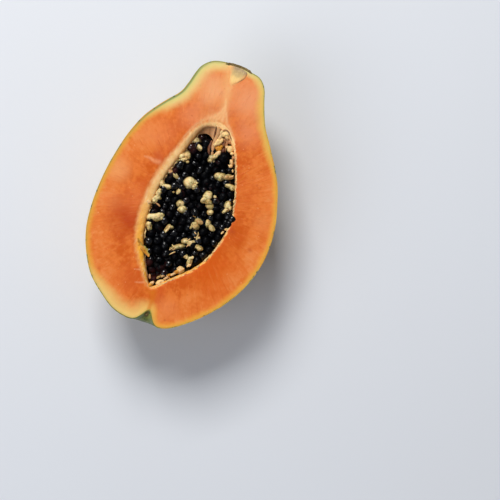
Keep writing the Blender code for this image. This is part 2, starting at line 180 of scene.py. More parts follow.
# Strands at the cavity's stem end, as a tone and points (s, r, height, radius factor): the ridge, a dark strand
# of painted shade on its left side, the dark edge of the membrane, the curled edge on the right, the strand
# under the first tuft and the one right of it
STRANDS = [
    (0.52, [(37.2, 1.6, -1.2, 4.0), (40.4, 1.9, -2.1, 4.0), (43.0, 1.9, -3.0, 3.7), (47.4, 1.7, -3.4, 3.4),
            (51.4, 2.4, -3.6, 2.8), (54.4, 3.0, -4.4, 1.2)]),
    # A dark strand of painted shade beside the ridge
    (0.05, [(45.4, -0.3, -4.2, 1.6), (48.9, -0.3, -3.9, 2.8), (52.1, 0.6, -4.0, 2.6), (55.0, 1.6, -4.8, 0.9)]),
    (0.1, [(37.0, -0.5, -1.3, 0.8), (39.7, -0.2, -2.6, 1.3), (42.2, 0.2, -3.6, 1.3), (44.4, 0.7, -4.6, 0.7)]),
    (0.2, [(38.6, 3.4, -1.0, 0.7), (37.2, 5.2, -0.8, 1.2), (37.6, 7.4, -0.9, 1.3), (39.6, 9.2, -1.1, 1.2),
           (41.6, 10.9, -1.3, 1.0), (45.0, 13.2, -1.5, 0.7), (49.0, 15.4, -1.6, 0.5)]),
    (0.75, [(37.4, 3.4, -1.1, 2.6), (39.4, 4.0, -1.8, 3.0), (42.4, 3.8, -2.6, 3.2), (45.4, 3.2, -3.4, 2.4)]),
    (0.3, [(39.4, 8.0, -2.0, 2.0), (42.4, 8.6, -3.0, 2.4), (46.0, 8.8, -4.2, 2.0), (50.0, 9.6, -5.2, 1.2)]),
]
# The membrane over the first seeds: its upper edge on the lining and its lower edge, as (s, r)
HOOD_TOP = [(43.6, -10.2), (40.4, -9.0), (38.0, -6.8), (36.9, -3.9), (36.5, -0.8), (36.9, 1.4)]
HOOD_FOOT = [(44.8, -9.0), (44.0, -7.4), (43.0, -5.6), (42.8, -3.4), (43.8, -1.2), (45.4, 0.8)]
# Golden pulp in the pocket and on the lining, as the tufts
GOLDEN_LUMPS = [
    (48.5, 4.9, 2.2, 1.8, 20, 0.0, -2.9), (46.6, 6.0, 1.2, 1.3, 60, 0.0, -3.2),
    (117.0, -19.0, 1.2, 0.7, 60, 0.0, -0.9), (124.2, 7.2, 1.8, 1.0, 45, 0.0, -1.1),
    (127.6, 3.8, 1.6, 0.8, 45, 0.0, -1.2), (137.0, -4.8, 1.6, 1.2, 60, 0.0, -0.8),
]
# Large seeds by the rim and in the pocket, as (s, r, radius, lift)
LARGE_SEEDS = [
    (48.0, -2.8, 3.0, 0.2), (52.5, 9.9, 3.5, 0.2), (45.7, -6.5, 2.3, 0.2), (53.0, -10.4, 2.3, 0.2),
    (54.8, -7.8, 2.4, 0.2), (84.4, 27.0, 2.9, 1.9), (88.0, 26.2, 2.8, 1.8), (90.8, 23.0, 2.5, 1.0),
    (127.5, 0.5, 2.7, 0.6), (124.8, -9.6, 2.5, 0.8),
]
# Dark torn bits at the edge of the stem scar, as the tufts
SCAR_BITS = [
    (0.5, -7.9, 1.0, 0.5, 20, 0.0, -0.05), (1.1, -6.3, 1.0, 0.5, -20, 0.0, -0.05),
    (0.4, 4.4, 1.1, 0.45, -10, 0.0, -0.05), (0.7, 7.0, 1.0, 0.5, 0, 0.0, -0.05),
]
# Pieces of torn lumps: table, stream of their random numbers, segments, rings, then size, depth, detail and
# random seed of their wrinkles
TORN = {
    "papaya_scar_bits": (SCAR_BITS, 10, 14, 9, 0.8, 0.5, 2.0, 2),
    "papaya_tufts": (TUFTS, 6, 20, 14, 1.4, 1.3, 3.0, 5),
    "papaya_golden_pulp": (GOLDEN_LUMPS, 12, 20, 14, 1.6, 1.0, 3.0, 7),
}
# Torn threads on the steep wall and on the sloping one: share of rim to foot, then the limits of their offset,
# height, thickness factor and tone
STEEP_GAP = 2.2
FRINGE_STEEP = (0.3, (-0.1, 0.45), (-1.5, -0.35), (0.4, 1.1), (0.65, 1.0))
FRINGE_SLOPING = (1.0, (-0.2, 0.5), (-5.4, -3.2), (0.6, 1.4), (0.3, 1.0))
STRAND_THICKNESS = 0.34
# Middles (s, r) and spreads of the fibres between the seeds
FIBRE_CLUSTERS = [((112.0, 0.5), 4.5), ((107.0, 9.0), 4.5), ((101.0, 11.5), 2.0), ((129.0, 3.0), 4.0)]
HOOD_THICKNESS = 0.35
# Golden flap that peels off the lining low on its left side, as (s, r)
FLAP_THICKNESS = 0.3
FLAP_WIDTH = 2.3
FLAP_PATH = [(113.6, -21.0), (116.4, -19.2), (118.4, -16.9), (119.9, -14.6), (121.0, -12.6), (121.8, -11.0)]

# Fine pale fibres of the core, from the stem plug to the lining over the cavity, as (s, r, half width)
CORE_FIBRES = [
    [(20.0, -0.9, 0.5), (24.0, 0.4, 0.8), (28.0, 1.2, 1.2), (33.0, 1.6, 1.4)],
    [(24.0, 0.2, 0.6), (28.0, -0.8, 1.0), (31.5, -2.9, 1.8), (34.6, -5.9, 2.2), (38.2, -9.6, 2.0),
     (43.0, -13.0, 1.4), (49.0, -15.8, 0.9)],
    [(26.0, 1.4, 0.5), (30.0, 3.2, 0.8), (34.0, 5.2, 1.2), (36.5, 8.0, 1.2), (41.0, 12.0, 0.9)],
    [(27.0, 0.6, 0.7), (31.0, -0.4, 1.0), (34.5, -2.6, 1.4)],
]
# The soft glow round them
CORE_GLOW = [
    (1.5, -7.0, 2.4), (6.0, -4.4, 3.0), (11.0, -2.2, 3.4), (16.0, -1.2, 2.6), (23.0, 0.0, 2.2),
    (28.0, 0.4, 3.4), (31.5, -0.2, 6.2), (34.5, -1.0, 9.0),
]
# Golden seam from the cavity's lower tip to the blossom end
SEAM_LINE = [(135.5, -5.4, 3.2), (139.0, -2.8, 2.8), (142.5, -0.8, 2.0), (146.5, -0.6, 1.3), (150.0, -0.6, 1.0)]
# Pale scars in the flesh left of the cavity and the darker patch beside the long one
VEIN_LINES = [
    [(67.8, -34.0, 0.4), (67.6, -30.6, 1.0), (68.2, -27.4, 1.5), (68.0, -24.4, 1.7)],
    [(131.2, -16.4, 0.3), (130.6, -14.0, 0.5), (129.8, -11.6, 0.7)],
    [(138.2, -13.4, 0.4), (137.4, -10.8, 0.6), (136.4, -8.4, 0.8)],
]
VEIN_SHADE = [(63.5, -27.0, 2.6), (66.0, -23.8, 2.2)]
FACE_LINES = {
    "core_fibres": CORE_FIBRES, "core_glow": [CORE_GLOW], "seam_line": [SEAM_LINE], "vein": VEIN_LINES,
    "vein_shade": [VEIN_SHADE],
}
# Soft patches of colour in the flesh, as (s, r, radius, share, red, green, blue); the dark red-brown one at
# (91.5, 29.0) is painted shadow under the large seeds that press over the rim
FLESH_PATCHES = [
    (118.0, 27.0, 24.0, 0.75, 216, 90, 0), (95.0, 33.0, 13.0, 0.65, 204, 84, 0),
    (106.0, -30.0, 17.0, 0.9, 186, 64, 0), (92.0, -29.5, 14.0, 0.55, 226, 116, 56),
    (138.0, -18.0, 15.0, 0.5, 214, 96, 34), (66.0, 27.0, 14.0, 0.5, 224, 112, 42),
    (18.0, -9.0, 18.0, 0.9, 240, 168, 114), (16.0, 12.0, 20.0, 0.9, 236, 154, 104),
    (34.0, 18.0, 14.0, 0.6, 238, 148, 98), (52.0, -27.0, 15.0, 0.45, 234, 132, 76),
    (5.0, -11.0, 4.5, 0.6, 236, 146, 80), (36.0, -16.0, 12.0, 0.5, 244, 154, 104),
    (80.0, -46.0, 12.0, 0.8, 238, 156, 92), (56.0, -36.0, 12.0, 0.4, 236, 144, 84),
    (98.0, -43.0, 10.0, 0.35, 232, 136, 78), (91.5, 29.0, 4.0, 0.7, 188, 72, 10),
    (97.9, 42.7, 2.6, 0.6, 192, 78, 24), (141.0, 3.4, 4.0, 0.6, 198, 78, 14),
    (122.9, 13.4, 1.3, 0.9, 176, 70, 16), (138.0, -36.0, 2.0, 0.55, 198, 86, 28),
    (80.0, 44.0, 9.0, 0.4, 232, 140, 76), (138.0, 2.0, 9.0, 0.5, 214, 92, 30),
    (146.0, 9.0, 11.0, 0.6, 236, 138, 76),
]
# Where the black seeds are purple-brown, as (s, r, radius)
PURPLE_PATCHES = [
    (53.0, -11.5, 6.0), (46.0, -8.5, 4.0), (131.0, -5.0, 6.0), (125.0, -10.5, 3.5), (70.0, -15.5, 4.0),
]
# Corky scar at the stem end, and the dry nub at the blossom end, whose place is (s, r, height)
SCAR_RADIUS = 8.0
SCAR_THICKNESS = 1.5
NUB_PLACE = (149.8, -0.9, -2.7)
NUB_RADIUS = 2.3
NUB_TAPER = 1.2
NUB_LENGTH = 5.4
# Cut stem plug in the cut face, as (s, r), and its middle
PLUG_MIDDLE = (4.2, -0.6)
PLUG_OUTLINE = [
    (0.9, -7.7), (-0.2, -3.0), (0.1, 3.0), (1.0, 6.6), (3.2, 6.9), (6.0, 6.0), (8.6, 3.9), (11.2, 1.6),
    (13.0, -0.6), (11.4, -2.6), (8.2, -3.6), (5.0, -4.4), (2.6, -6.4),
]


def srgb(red, green, blue):
    """A linear colour from the values of a picture."""
    values = [value / 255 for value in (red, green, blue)]
    return (*(((value + 0.055) / 1.055) ** 2.4 if value > 0.04045 else value / 12.92 for value in values), 1.0)


def colour(name, description, red, green, blue):
    """A colour that the panel shows."""
    return bpy.props.FloatVectorProperty(
        name=name, description=description, subtype="COLOR", size=4, min=0.0, max=1.0,
        default=srgb(red, green, blue),
    )


def length(name, description, millimetres):
    """A length that the panel shows."""
    return bpy.props.FloatProperty(
        name=name, description=description, default=millimetres * MM, unit="LENGTH", subtype="DISTANCE",
        precision=5,
    )


class PapayaSizes(bpy.types.PropertyGroup):
    """Sizes of the half's fine structure."""

    skin: length("Skin", "Thickness of the skin", 0.5)
    flesh_drop: length("Flesh drop", "How far the cut flesh lies below the skin's edge", 0.12)
    knife_marks: length("Knife marks", "Depth of the shallow waves that the knife left", 0.22)
    seed_growth: bpy.props.FloatProperty(
        name="Seed growth", description="Size of the seeds over those of the solid", default=1.15, min=0.5,
        max=1.5,
    )
    seed_wrinkle: length("Seed wrinkle", "Depth of the wrinkles in the black seeds", 0.9)
    pale_wrinkle: length("Pale wrinkle", "Depth of the folds in the pale seeds", 1.75)
    threads: bpy.props.IntProperty(
        name="Threads", description="Number of torn threads round the cavity's rim", default=230, min=0,
        max=2000,
    )


class PapayaColours(bpy.types.PropertyGroup):
    """Colours of the flesh, the skin, the lining and the seeds."""

    flesh_deep: colour("Deep flesh", "Flesh beside the cavity", 206, 88, 4)
    flesh: colour("Flesh", "Most of the flesh", 228, 120, 46)
    flesh_light: colour("Light flesh", "Flesh towards the skin and the neck", 238, 148, 82)
    margin: colour("Margin", "Yellow margin under the skin", 234, 164, 58)
    margin_pale: colour("Pale margin", "Margin along the neck", 236, 216, 140)
    margin_green: colour("Green margin", "Edge of the margin at the skin", 112, 142, 88)
    lining: colour("Lining", "Upper lining of the cavity", 254, 206, 142)
    lining_gold: colour("Golden lining", "Lower lining of the cavity", 250, 174, 54)
    pocket: colour("Pocket", "Lining in the shade of the stem end", 206, 142, 100)
    skin_gold: colour("Golden skin", "Ripe skin", 226, 168, 42)
    skin_green: colour("Green skin", "Unripe skin", 134, 148, 62)
    skin_speck: colour("Specks", "Dark specks in the skin", 34, 76, 44)
    scar: colour("Scar", "Corky scar at the stem end", 84, 66, 36)
    plug: colour("Plug", "Cut stem plug", 204, 172, 112)
    seed: colour("Seed", "Black seeds", 2, 2, 4)
    pale_seed: colour("Pale seed", "Undeveloped seeds", 230, 202, 138)
    fibre: colour("Fibre", "Strands that held the seeds", 236, 192, 134)
    floor: colour("Floor", "The pale floor", 223, 227, 234)


# Curves and outlines


CHUNK = 4000


def rounded(points, closed=False, steps=12):
    """The points joined by a smooth Catmull-Rom curve, as a dense array."""
    points = np.array(points, float)
    if closed:
        padded = np.vstack([points[-1:], points, points[:2]])
    else:
        padded = np.vstack([2 * points[0] - points[1], points, 2 * points[-1] - points[-2]])
    t = (np.arange(steps) / steps)[None, :, None]
    before, start, end, after = (
        part[:, None] for part in (padded[:-3], padded[1:-2], padded[2:-1], padded[3:])
    )
    curve = 0.5 * (
        2 * start + (end - before) * t + (2 * before - 5 * start + 4 * end - after) * t**2
        + (3 * start - before - 3 * end + after) * t**3
    )
    curve = curve.reshape(-1, points.shape[1])
    return curve if closed else np.vstack([curve, points[-1:]])


def even(curve, count):
    """The curve sampled at count points that are evenly spaced along it."""
    lengths = np.concatenate([[0.0], np.cumsum(np.linalg.norm(np.diff(curve, axis=0), axis=1))])
    wanted = np.linspace(0.0, lengths[-1], count)
    return np.column_stack([np.interp(wanted, lengths, curve[:, i]) for i in range(curve.shape[1])])


def polar_radius(outline, angle):
    """Distance from the cavity's middle to the outline in the direction of each angle."""
    offset = rounded(outline, closed=True) - CAVITY_MIDDLE
    angles = np.arctan2(offset[:, 1], offset[:, 0])
    order = np.argsort(angles)
    return np.interp(angle, angles[order], np.hypot(*offset.T)[order], period=2 * math.pi)


def about_middle(reach, angle):
    """s and r at a distance from the cavity's middle in the direction of an angle."""
    return CAVITY_MIDDLE[0] + reach * np.cos(angle), CAVITY_MIDDLE[1] + reach * np.sin(angle)


def nearest_on(points, line):
    """The distance from each point (s, r) to the nearest point of a dense line, and that one's number."""
    away, number = np.empty(len(points)), np.empty(len(points), int)
    for start in range(0, len(points), CHUNK):
        part = np.s_[start : start + CHUNK]
        gap = points[part, None] - line[None, :, :2]
        distance = np.hypot(gap[..., 0], gap[..., 1])
        away[part], number[part] = distance.min(axis=1), distance.argmin(axis=1)
    return away, number


def nearness(points, path):
    """1 on a path given as (s, r, half width) and 0 well away from it."""
    line = rounded(path, steps=20)
    away, number = nearest_on(points, line)
    return np.exp(-((away / line[number, 2]) ** 2))


def draws(stream):
    """Random numbers of a piece's own, the same in each run."""
    return np.random.default_rng(RANDOM_SEED + stream)


def smooth_step(value):
    """0 below 0, 1 above 1 and a smooth rise between."""
    value = np.clip(value, 0.0, 1.0)
    return value * value * (3 - 2 * value)


def place(along, across, height):
    """Frame coordinates in metres of points in the fruit's own measure."""
    along, across, height = np.broadcast_arrays(along, across, height)
    return np.stack([AXIS_X + across, STEM_Y - along, FACE_Z + height], axis=-1) * MM


def measure(points):
    """(s, r) of frame coordinates."""
    return np.stack([STEM_Y - points[..., 1] / MM, points[..., 0] / MM - AXIS_X], axis=-1)


def waves(points, lengths, amount, rng):
    """Smooth random waves over points (s, r), from -amount to amount at most."""
    total = np.zeros(points.shape[:-1])
    for wave in lengths:
        turn, phase = rng.uniform(0, math.pi), rng.uniform(0, 2 * math.pi)
        across = points[..., 0] * math.cos(turn) + points[..., 1] * math.sin(turn)
        total += np.sin(2 * math.pi * across / wave + phase)
    return amount * total / len(lengths)


# Mesh building


def in_scene(name, data):
    """An object of the data, linked to the scene."""
    made = bpy.data.objects.new(name, data)
    bpy.context.scene.collection.objects.link(made)
    return made


def grid_faces(rows, columns, start=0, closed=False):
    """Quads over a grid of points in rows, whose rows may close on themselves."""
    row = np.arange(rows - 1)[:, None] * columns + start
    column = np.arange(columns if closed else columns - 1)[None]
    after = (column + 1) % columns
    corners = (row + column, row + after, row + columns + after, row + columns + column)
    return np.stack(corners, axis=-1).reshape(-1, 4)


def plain_mesh(name, points, faces, values):
    """A mesh whose points hold values: numbers or vectors under their names."""
    mesh = bpy.data.meshes.new(name)
    mesh.from_pydata(points.tolist(), [], faces.tolist() if isinstance(faces, np.ndarray) else faces)
    for key, data in values.items():
        kind, field = ("FLOAT", "value") if np.ndim(data) == 1 else ("FLOAT_VECTOR", "vector")
        mesh.attributes.new(key, kind, "POINT").data.foreach_set(field, np.asarray(data, np.float32).ravel())
    return mesh


def mesh_piece(name, points, faces, values=None, sharp=None):
    """A closed, smooth mesh object whose doubles are merged and whose faces point out."""
    mesh = plain_mesh(name, points, faces, values or {})
    bm = bmesh.new()
    bm.from_mesh(mesh)
    bmesh.ops.remove_doubles(bm, verts=bm.verts[:], dist=1e-6)
    bmesh.ops.dissolve_degenerate(bm, edges=bm.edges[:], dist=1e-7)
    bmesh.ops.recalc_face_normals(bm, faces=bm.faces[:])
    bm.to_mesh(mesh)
    bm.free()
    mesh.shade_smooth()
    if sharp:
        mesh.set_sharp_from_angle(angle=math.radians(sharp))
    return in_scene(name, mesh)


SIDES = (np.s_[:, 0], np.s_[:, -1])


def shell(name, layers, edges, values=None, sharp=60):
    """A closed shell of two like grids of points that are joined along edges of the grid."""
    rows, columns = layers[0].shape[:2]
    count = rows * columns
    index = np.arange(count).reshape(rows, columns)
    faces = [grid_faces(rows, columns), grid_faces(rows, columns, count)]
    for line in (index[edge] for edge in edges):
        faces.append(np.stack([line[:-1], line[1:], line[1:] + count, line[:-1] + count], axis=-1))
    points = np.vstack([layer.reshape(-1, 3) for layer in layers])
    return mesh_piece(name, points, np.vstack(faces), values, sharp)


def dress(piece, material, node):
    """Gives the piece its material, its body and the solid it stands for."""
    piece.data.materials.clear()
    piece.data.materials.append(material)
    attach(piece, "root")
    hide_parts(node)


# Node trees


class Value:
    """An output of a node, which takes plain arithmetic."""

    def __init__(self, node, key=0):
        self.node, self.key = node, key

    @property
    def socket(self):
        return self.node.outputs[self.key]

    def __add__(self, other):
        return calc("ADD", self, other)

    def __sub__(self, other):
        return calc("SUBTRACT", self, other)

    def __rsub__(self, other):
        return calc("SUBTRACT", other, self)

    def __mul__(self, other):
        return calc("MULTIPLY", self, other)

    def __truediv__(self, other):
        return calc("DIVIDE", self, other)

    def __rtruediv__(self, other):
        return calc("DIVIDE", other, self)


def add(kind, inputs=None, output=0, tree=None, **settings):
    """An output of a new node, in the tree of the first value among its inputs if none is given."""
    inputs = inputs or {}
    tree = tree or next(value.node.id_data for value in inputs.values() if isinstance(value, Value))
    node = tree.nodes.new(kind)
    for key, value in settings.items():
        setattr(node, key, value)
    for key, value in inputs.items():
        if isinstance(value, Value):
            tree.links.new(value.socket, node.inputs[key])
        else:
            node.inputs[key].default_value = value
    return Value(node, output)


def calc(operation, *values):
    """One step of arithmetic."""
    return add("ShaderNodeMath", dict(enumerate(values)), operation=operation)


def vector(operation, *values):
    """One step of vector arithmetic."""
    return add("ShaderNodeVectorMath", dict(enumerate(values)), operation=operation)


def rise(value, low, high, start=0.0, end=1.0):
    """A smooth rise from start to end as the value goes from low to high."""
    inputs = {0: value, 1: low, 2: high, 3: start, 4: end}
    return add("ShaderNodeMapRange", inputs, interpolation_type="SMOOTHSTEP")


def noise(position, size, detail=3.0, roughness=0.55, distortion=0.0):
    """Noise from 0 to 1 whose largest features have the size, in millimetres."""
    inputs = {"Vector": position, "Scale": 1.0 / size, "Detail": detail, "Roughness": roughness}
    return add("ShaderNodeTexNoise", {**inputs, "Distortion": distortion})


def glaze(base, *layers):
    """The base colour under layers of (share, colour)."""
    for share, shade in layers:
        base = add("ShaderNodeMix", {0: share, 6: base, 7: shade}, 2, data_type="RGBA")
    return base


def new_group(name, family, result, **inputs):
    """The inputs of a new node group, as values, from the names of each kind."""
    tree = bpy.data.node_groups.new(name, f"{family}NodeTree")
    labels = [(label, kind) for kind, names in inputs.items() for label in names.split(", ")]
    for label, kind in labels:
        tree.interface.new_socket(label, in_out="INPUT", socket_type=f"NodeSocket{kind}")
    tree.interface.new_socket("Result", in_out="OUTPUT", socket_type=f"NodeSocket{result}")
    node = tree.nodes.new("NodeGroupInput")
    return [Value(node, index) for index in range(len(labels))]


def give(value):
    """Makes the value its group's result and returns the group."""
    tree = value.node.id_data
    tree.links.new(value.socket, tree.nodes.new("NodeGroupOutput").inputs[0])
    return tree


def mottle_group():
    """Soft clouds of two sizes that run from 0 to 1 between two limits."""
    position, size, fine_share, low, high = new_group(
        "Mottle", "Shader", "Float", Vector="Position", Float="Size, Fine Share, Low, High",
    )
    scale = 1.0 / size
    large = add("ShaderNodeTexNoise", {"Vector": position, "Scale": scale, "Detail": 2.0})
    small = add("ShaderNodeTexNoise", {"Vector": position, "Scale": scale * 4.3, "Detail": 3.0})
    return give(rise(add("ShaderNodeMix", {0: fine_share, 2: large, 3: small}), low, high))


def flecks_group():
    """Small round flecks in a share of the cells of a loose pattern."""
    position, spacing, size, softness, share = new_group(
        "Flecks", "Shader", "Float", Vector="Position", Float="Spacing, Size, Softness, Share",
    )
    bent = add("ShaderNodeTexNoise", {"Vector": position, "Scale": 1.6, "Detail": 1.0}, 1)
    moved = vector("MULTIPLY_ADD", bent, (0.7, 0.7, 0.7), position)
    cells = {"Vector": moved, "Scale": 1.0 / spacing, "Randomness": 1.0}
    distance = add("ShaderNodeTexVoronoi", cells, "Distance")
    chance = add("ShaderNodeSeparateColor", {0: Value(distance.node, "Color")})
    size = size * (Value(chance.node, 1) * 0.9 + 0.5)
    spot = rise(distance * spacing, size, size * (1.0 - softness))
    return give(spot * calc("LESS_THAN", chance, share))


def patch_group():
    """A soft, ragged patch about a centre in the cut face."""
    position, centre, radius = new_group(
        "Soft Patch", "Shader", "Float", Vector="Position, Centre", Float="Radius",
    )
    gap = vector("MULTIPLY", vector("SUBTRACT", position, centre), (1, 1, 0))
    away = add("ShaderNodeVectorMath", {0: gap}, "Value", operation="LENGTH")
    ragged = (noise(position, 9.0, 2.0) - 0.5) * 0.5 * radius
    return give(rise(away + ragged, radius, 0.0))


def relief_group():
    """Height in millimetres of a coarse and a fine grain."""
    position, *grains = new_group(
        "Grain Relief", "Shader", "Float", Vector="Position",
        Float="Coarse Size, Coarse Height, Fine Size, Fine Height",
    )
    coarse, fine = (
        add("ShaderNodeTexNoise", {"Vector": position, "Scale": 1.0 / size, "Detail": 3.0}) * height
        for size, height in (grains[:2], grains[2:])
    )
    return give(coarse + fine)


def painted(geometry, material):
    """Makes smooth faces in the material a geometry group's result."""
    smooth = add("GeometryNodeSetShadeSmooth", {"Geometry": geometry, "Shade Smooth": True})
    return give(add("GeometryNodeSetMaterial", {"Geometry": smooth, "Material": material}))


def lumps_group():
    """One wrinkled lump on each point, by its attributes size, turn and tone."""
    points, segments, rings, seed, wrinkle, depth, detail, material = new_group(
        "Wrinkled Lumps", "Geometry", "Geometry", Geometry="Geometry", Int="Segments, Rings, Random Seed",
        Float="Wrinkle Size, Wrinkle Depth, Wrinkle Detail", Material="Material",
    )
    tree = points.node.id_data
    lump = add("GeometryNodeMeshUVSphere", {"Segments": segments, "Rings": rings, "Radius": 1.0})
    size, turn = (
        add("GeometryNodeInputNamedAttribute", {"Name": key}, 0, tree, data_type="FLOAT_VECTOR")
        for key in ("size", "turn")
    )
    spin = add("FunctionNodeEulerToRotation", {0: turn})
    lumps = add("GeometryNodeInstanceOnPoints", {
        "Points": points, "Instance": lump, "Rotation": spin, "Scale": size,
    })
    real = add("GeometryNodeRealizeInstances", {"Geometry": lumps})
    inputs = {"W": seed, "Scale": 1.0 / wrinkle, "Detail": detail}
    wrinkles = add("ShaderNodeTexNoise", inputs, noise_dimensions="4D")
    normal = add("GeometryNodeInputNormal", tree=tree)
    offset = add("ShaderNodeVectorMath", {0: normal, "Scale": (wrinkles - 0.5) * depth}, operation="SCALE")
    return painted(add("GeometryNodeSetPosition", {"Geometry": real, "Offset": offset}), material)


def strands_group():
    """Tapered, slightly wavy strands along curves, by their point radii; their tilt holds the tone."""
    curves, sides, seed, thickness, wave, depth, material = new_group(
        "Soft Strands", "Geometry", "Geometry", Geometry="Geometry", Int="Sides, Random Seed",
        Float="Thickness, Wave Size, Wave Depth", Material="Material",
    )
    tree = curves.node.id_data
    bend = add("ShaderNodeTexNoise", {"W": seed, "Scale": 1.0 / wave, "Detail": 1.0}, 1, noise_dimensions="4D")
    centred = vector("SUBTRACT", bend, (0.5, 0.5, 0.5))
    offset = add("ShaderNodeVectorMath", {0: centred, "Scale": depth}, operation="SCALE")
    bent = add("GeometryNodeSetPosition", {"Geometry": curves, "Offset": offset})
    tone = add("GeometryNodeInputCurveTilt", tree=tree)
    toned = add("GeometryNodeStoreNamedAttribute", {"Geometry": bent, "Name": "tone", "Value": tone})
    ring = add("GeometryNodeCurvePrimitiveCircle", {"Resolution": sides, "Radius": thickness})
    radius = add("GeometryNodeInputRadius", tree=tree)
    tube = add("GeometryNodeCurveToMesh", {
        "Curve": toned, "Profile Curve": ring, "Scale": radius, "Fill Caps": True,
    })
    return painted(tube, material)


GROUPS = {
    "Mottle": mottle_group, "Flecks": flecks_group, "Soft Patch": patch_group, "Grain Relief": relief_group,
    "Wrinkled Lumps": lumps_group, "Soft Strands": strands_group,
}


def shared(name):
    """A shared node group, made when it is first asked for."""
    return bpy.data.node_groups.get(name) or GROUPS[name]()


def group(name, *values):
    """What a shared shader group makes of values in the order of its inputs."""
    return add("ShaderNodeGroup", dict(enumerate(values)), node_tree=shared(name))


# Materials


def tint(name):
    """One of the panel's colours."""
    return tuple(getattr(bpy.context.scene.papaya_colours, name))


def attribute(made, name, output="Fac"):
    """A value that the mesh holds at its points."""
    return add("ShaderNodeAttribute", None, output, made.node_tree, attribute_name=name)


def new_material(name, *held, **plain):
    """A Principled material, the place on the piece in millimetres and values that the mesh holds."""
    made = bpy.data.materials.new(name)
    made.use_nodes = True
    for key, value in plain.items():
        made.node_tree.nodes["Principled BSDF"].inputs[key.replace("_", " ")].default_value = value
    metres = add("ShaderNodeTexCoord", None, "Object", made.node_tree)
    spot = vector("MULTIPLY", metres, (1000.0, 1000.0, 1000.0))
    return made, spot, *(attribute(made, key) for key in held)


def wire(made, base, roughness=None, height=None, coat=None):
    """Feeds the material's colour, roughness, bump and coat, and returns it."""
    tree = made.node_tree
    bump = height and add("ShaderNodeBump", {"Height": height, "Distance": MM, "Strength": 1.0})
    feeds = {"Base Color": base, "Roughness": roughness, "Normal": bump, "Coat Weight": coat}
    for key, value in feeds.items():
        if value:
            tree.links.new(value.socket, tree.nodes["Principled BSDF"].inputs[key])
    return made


def soft_patch(spot, s, r, radius):
    """A soft patch about a place in the cut face."""
    return group("Soft Patch", spot, tuple(place(s, r, 0.0) / MM), radius)


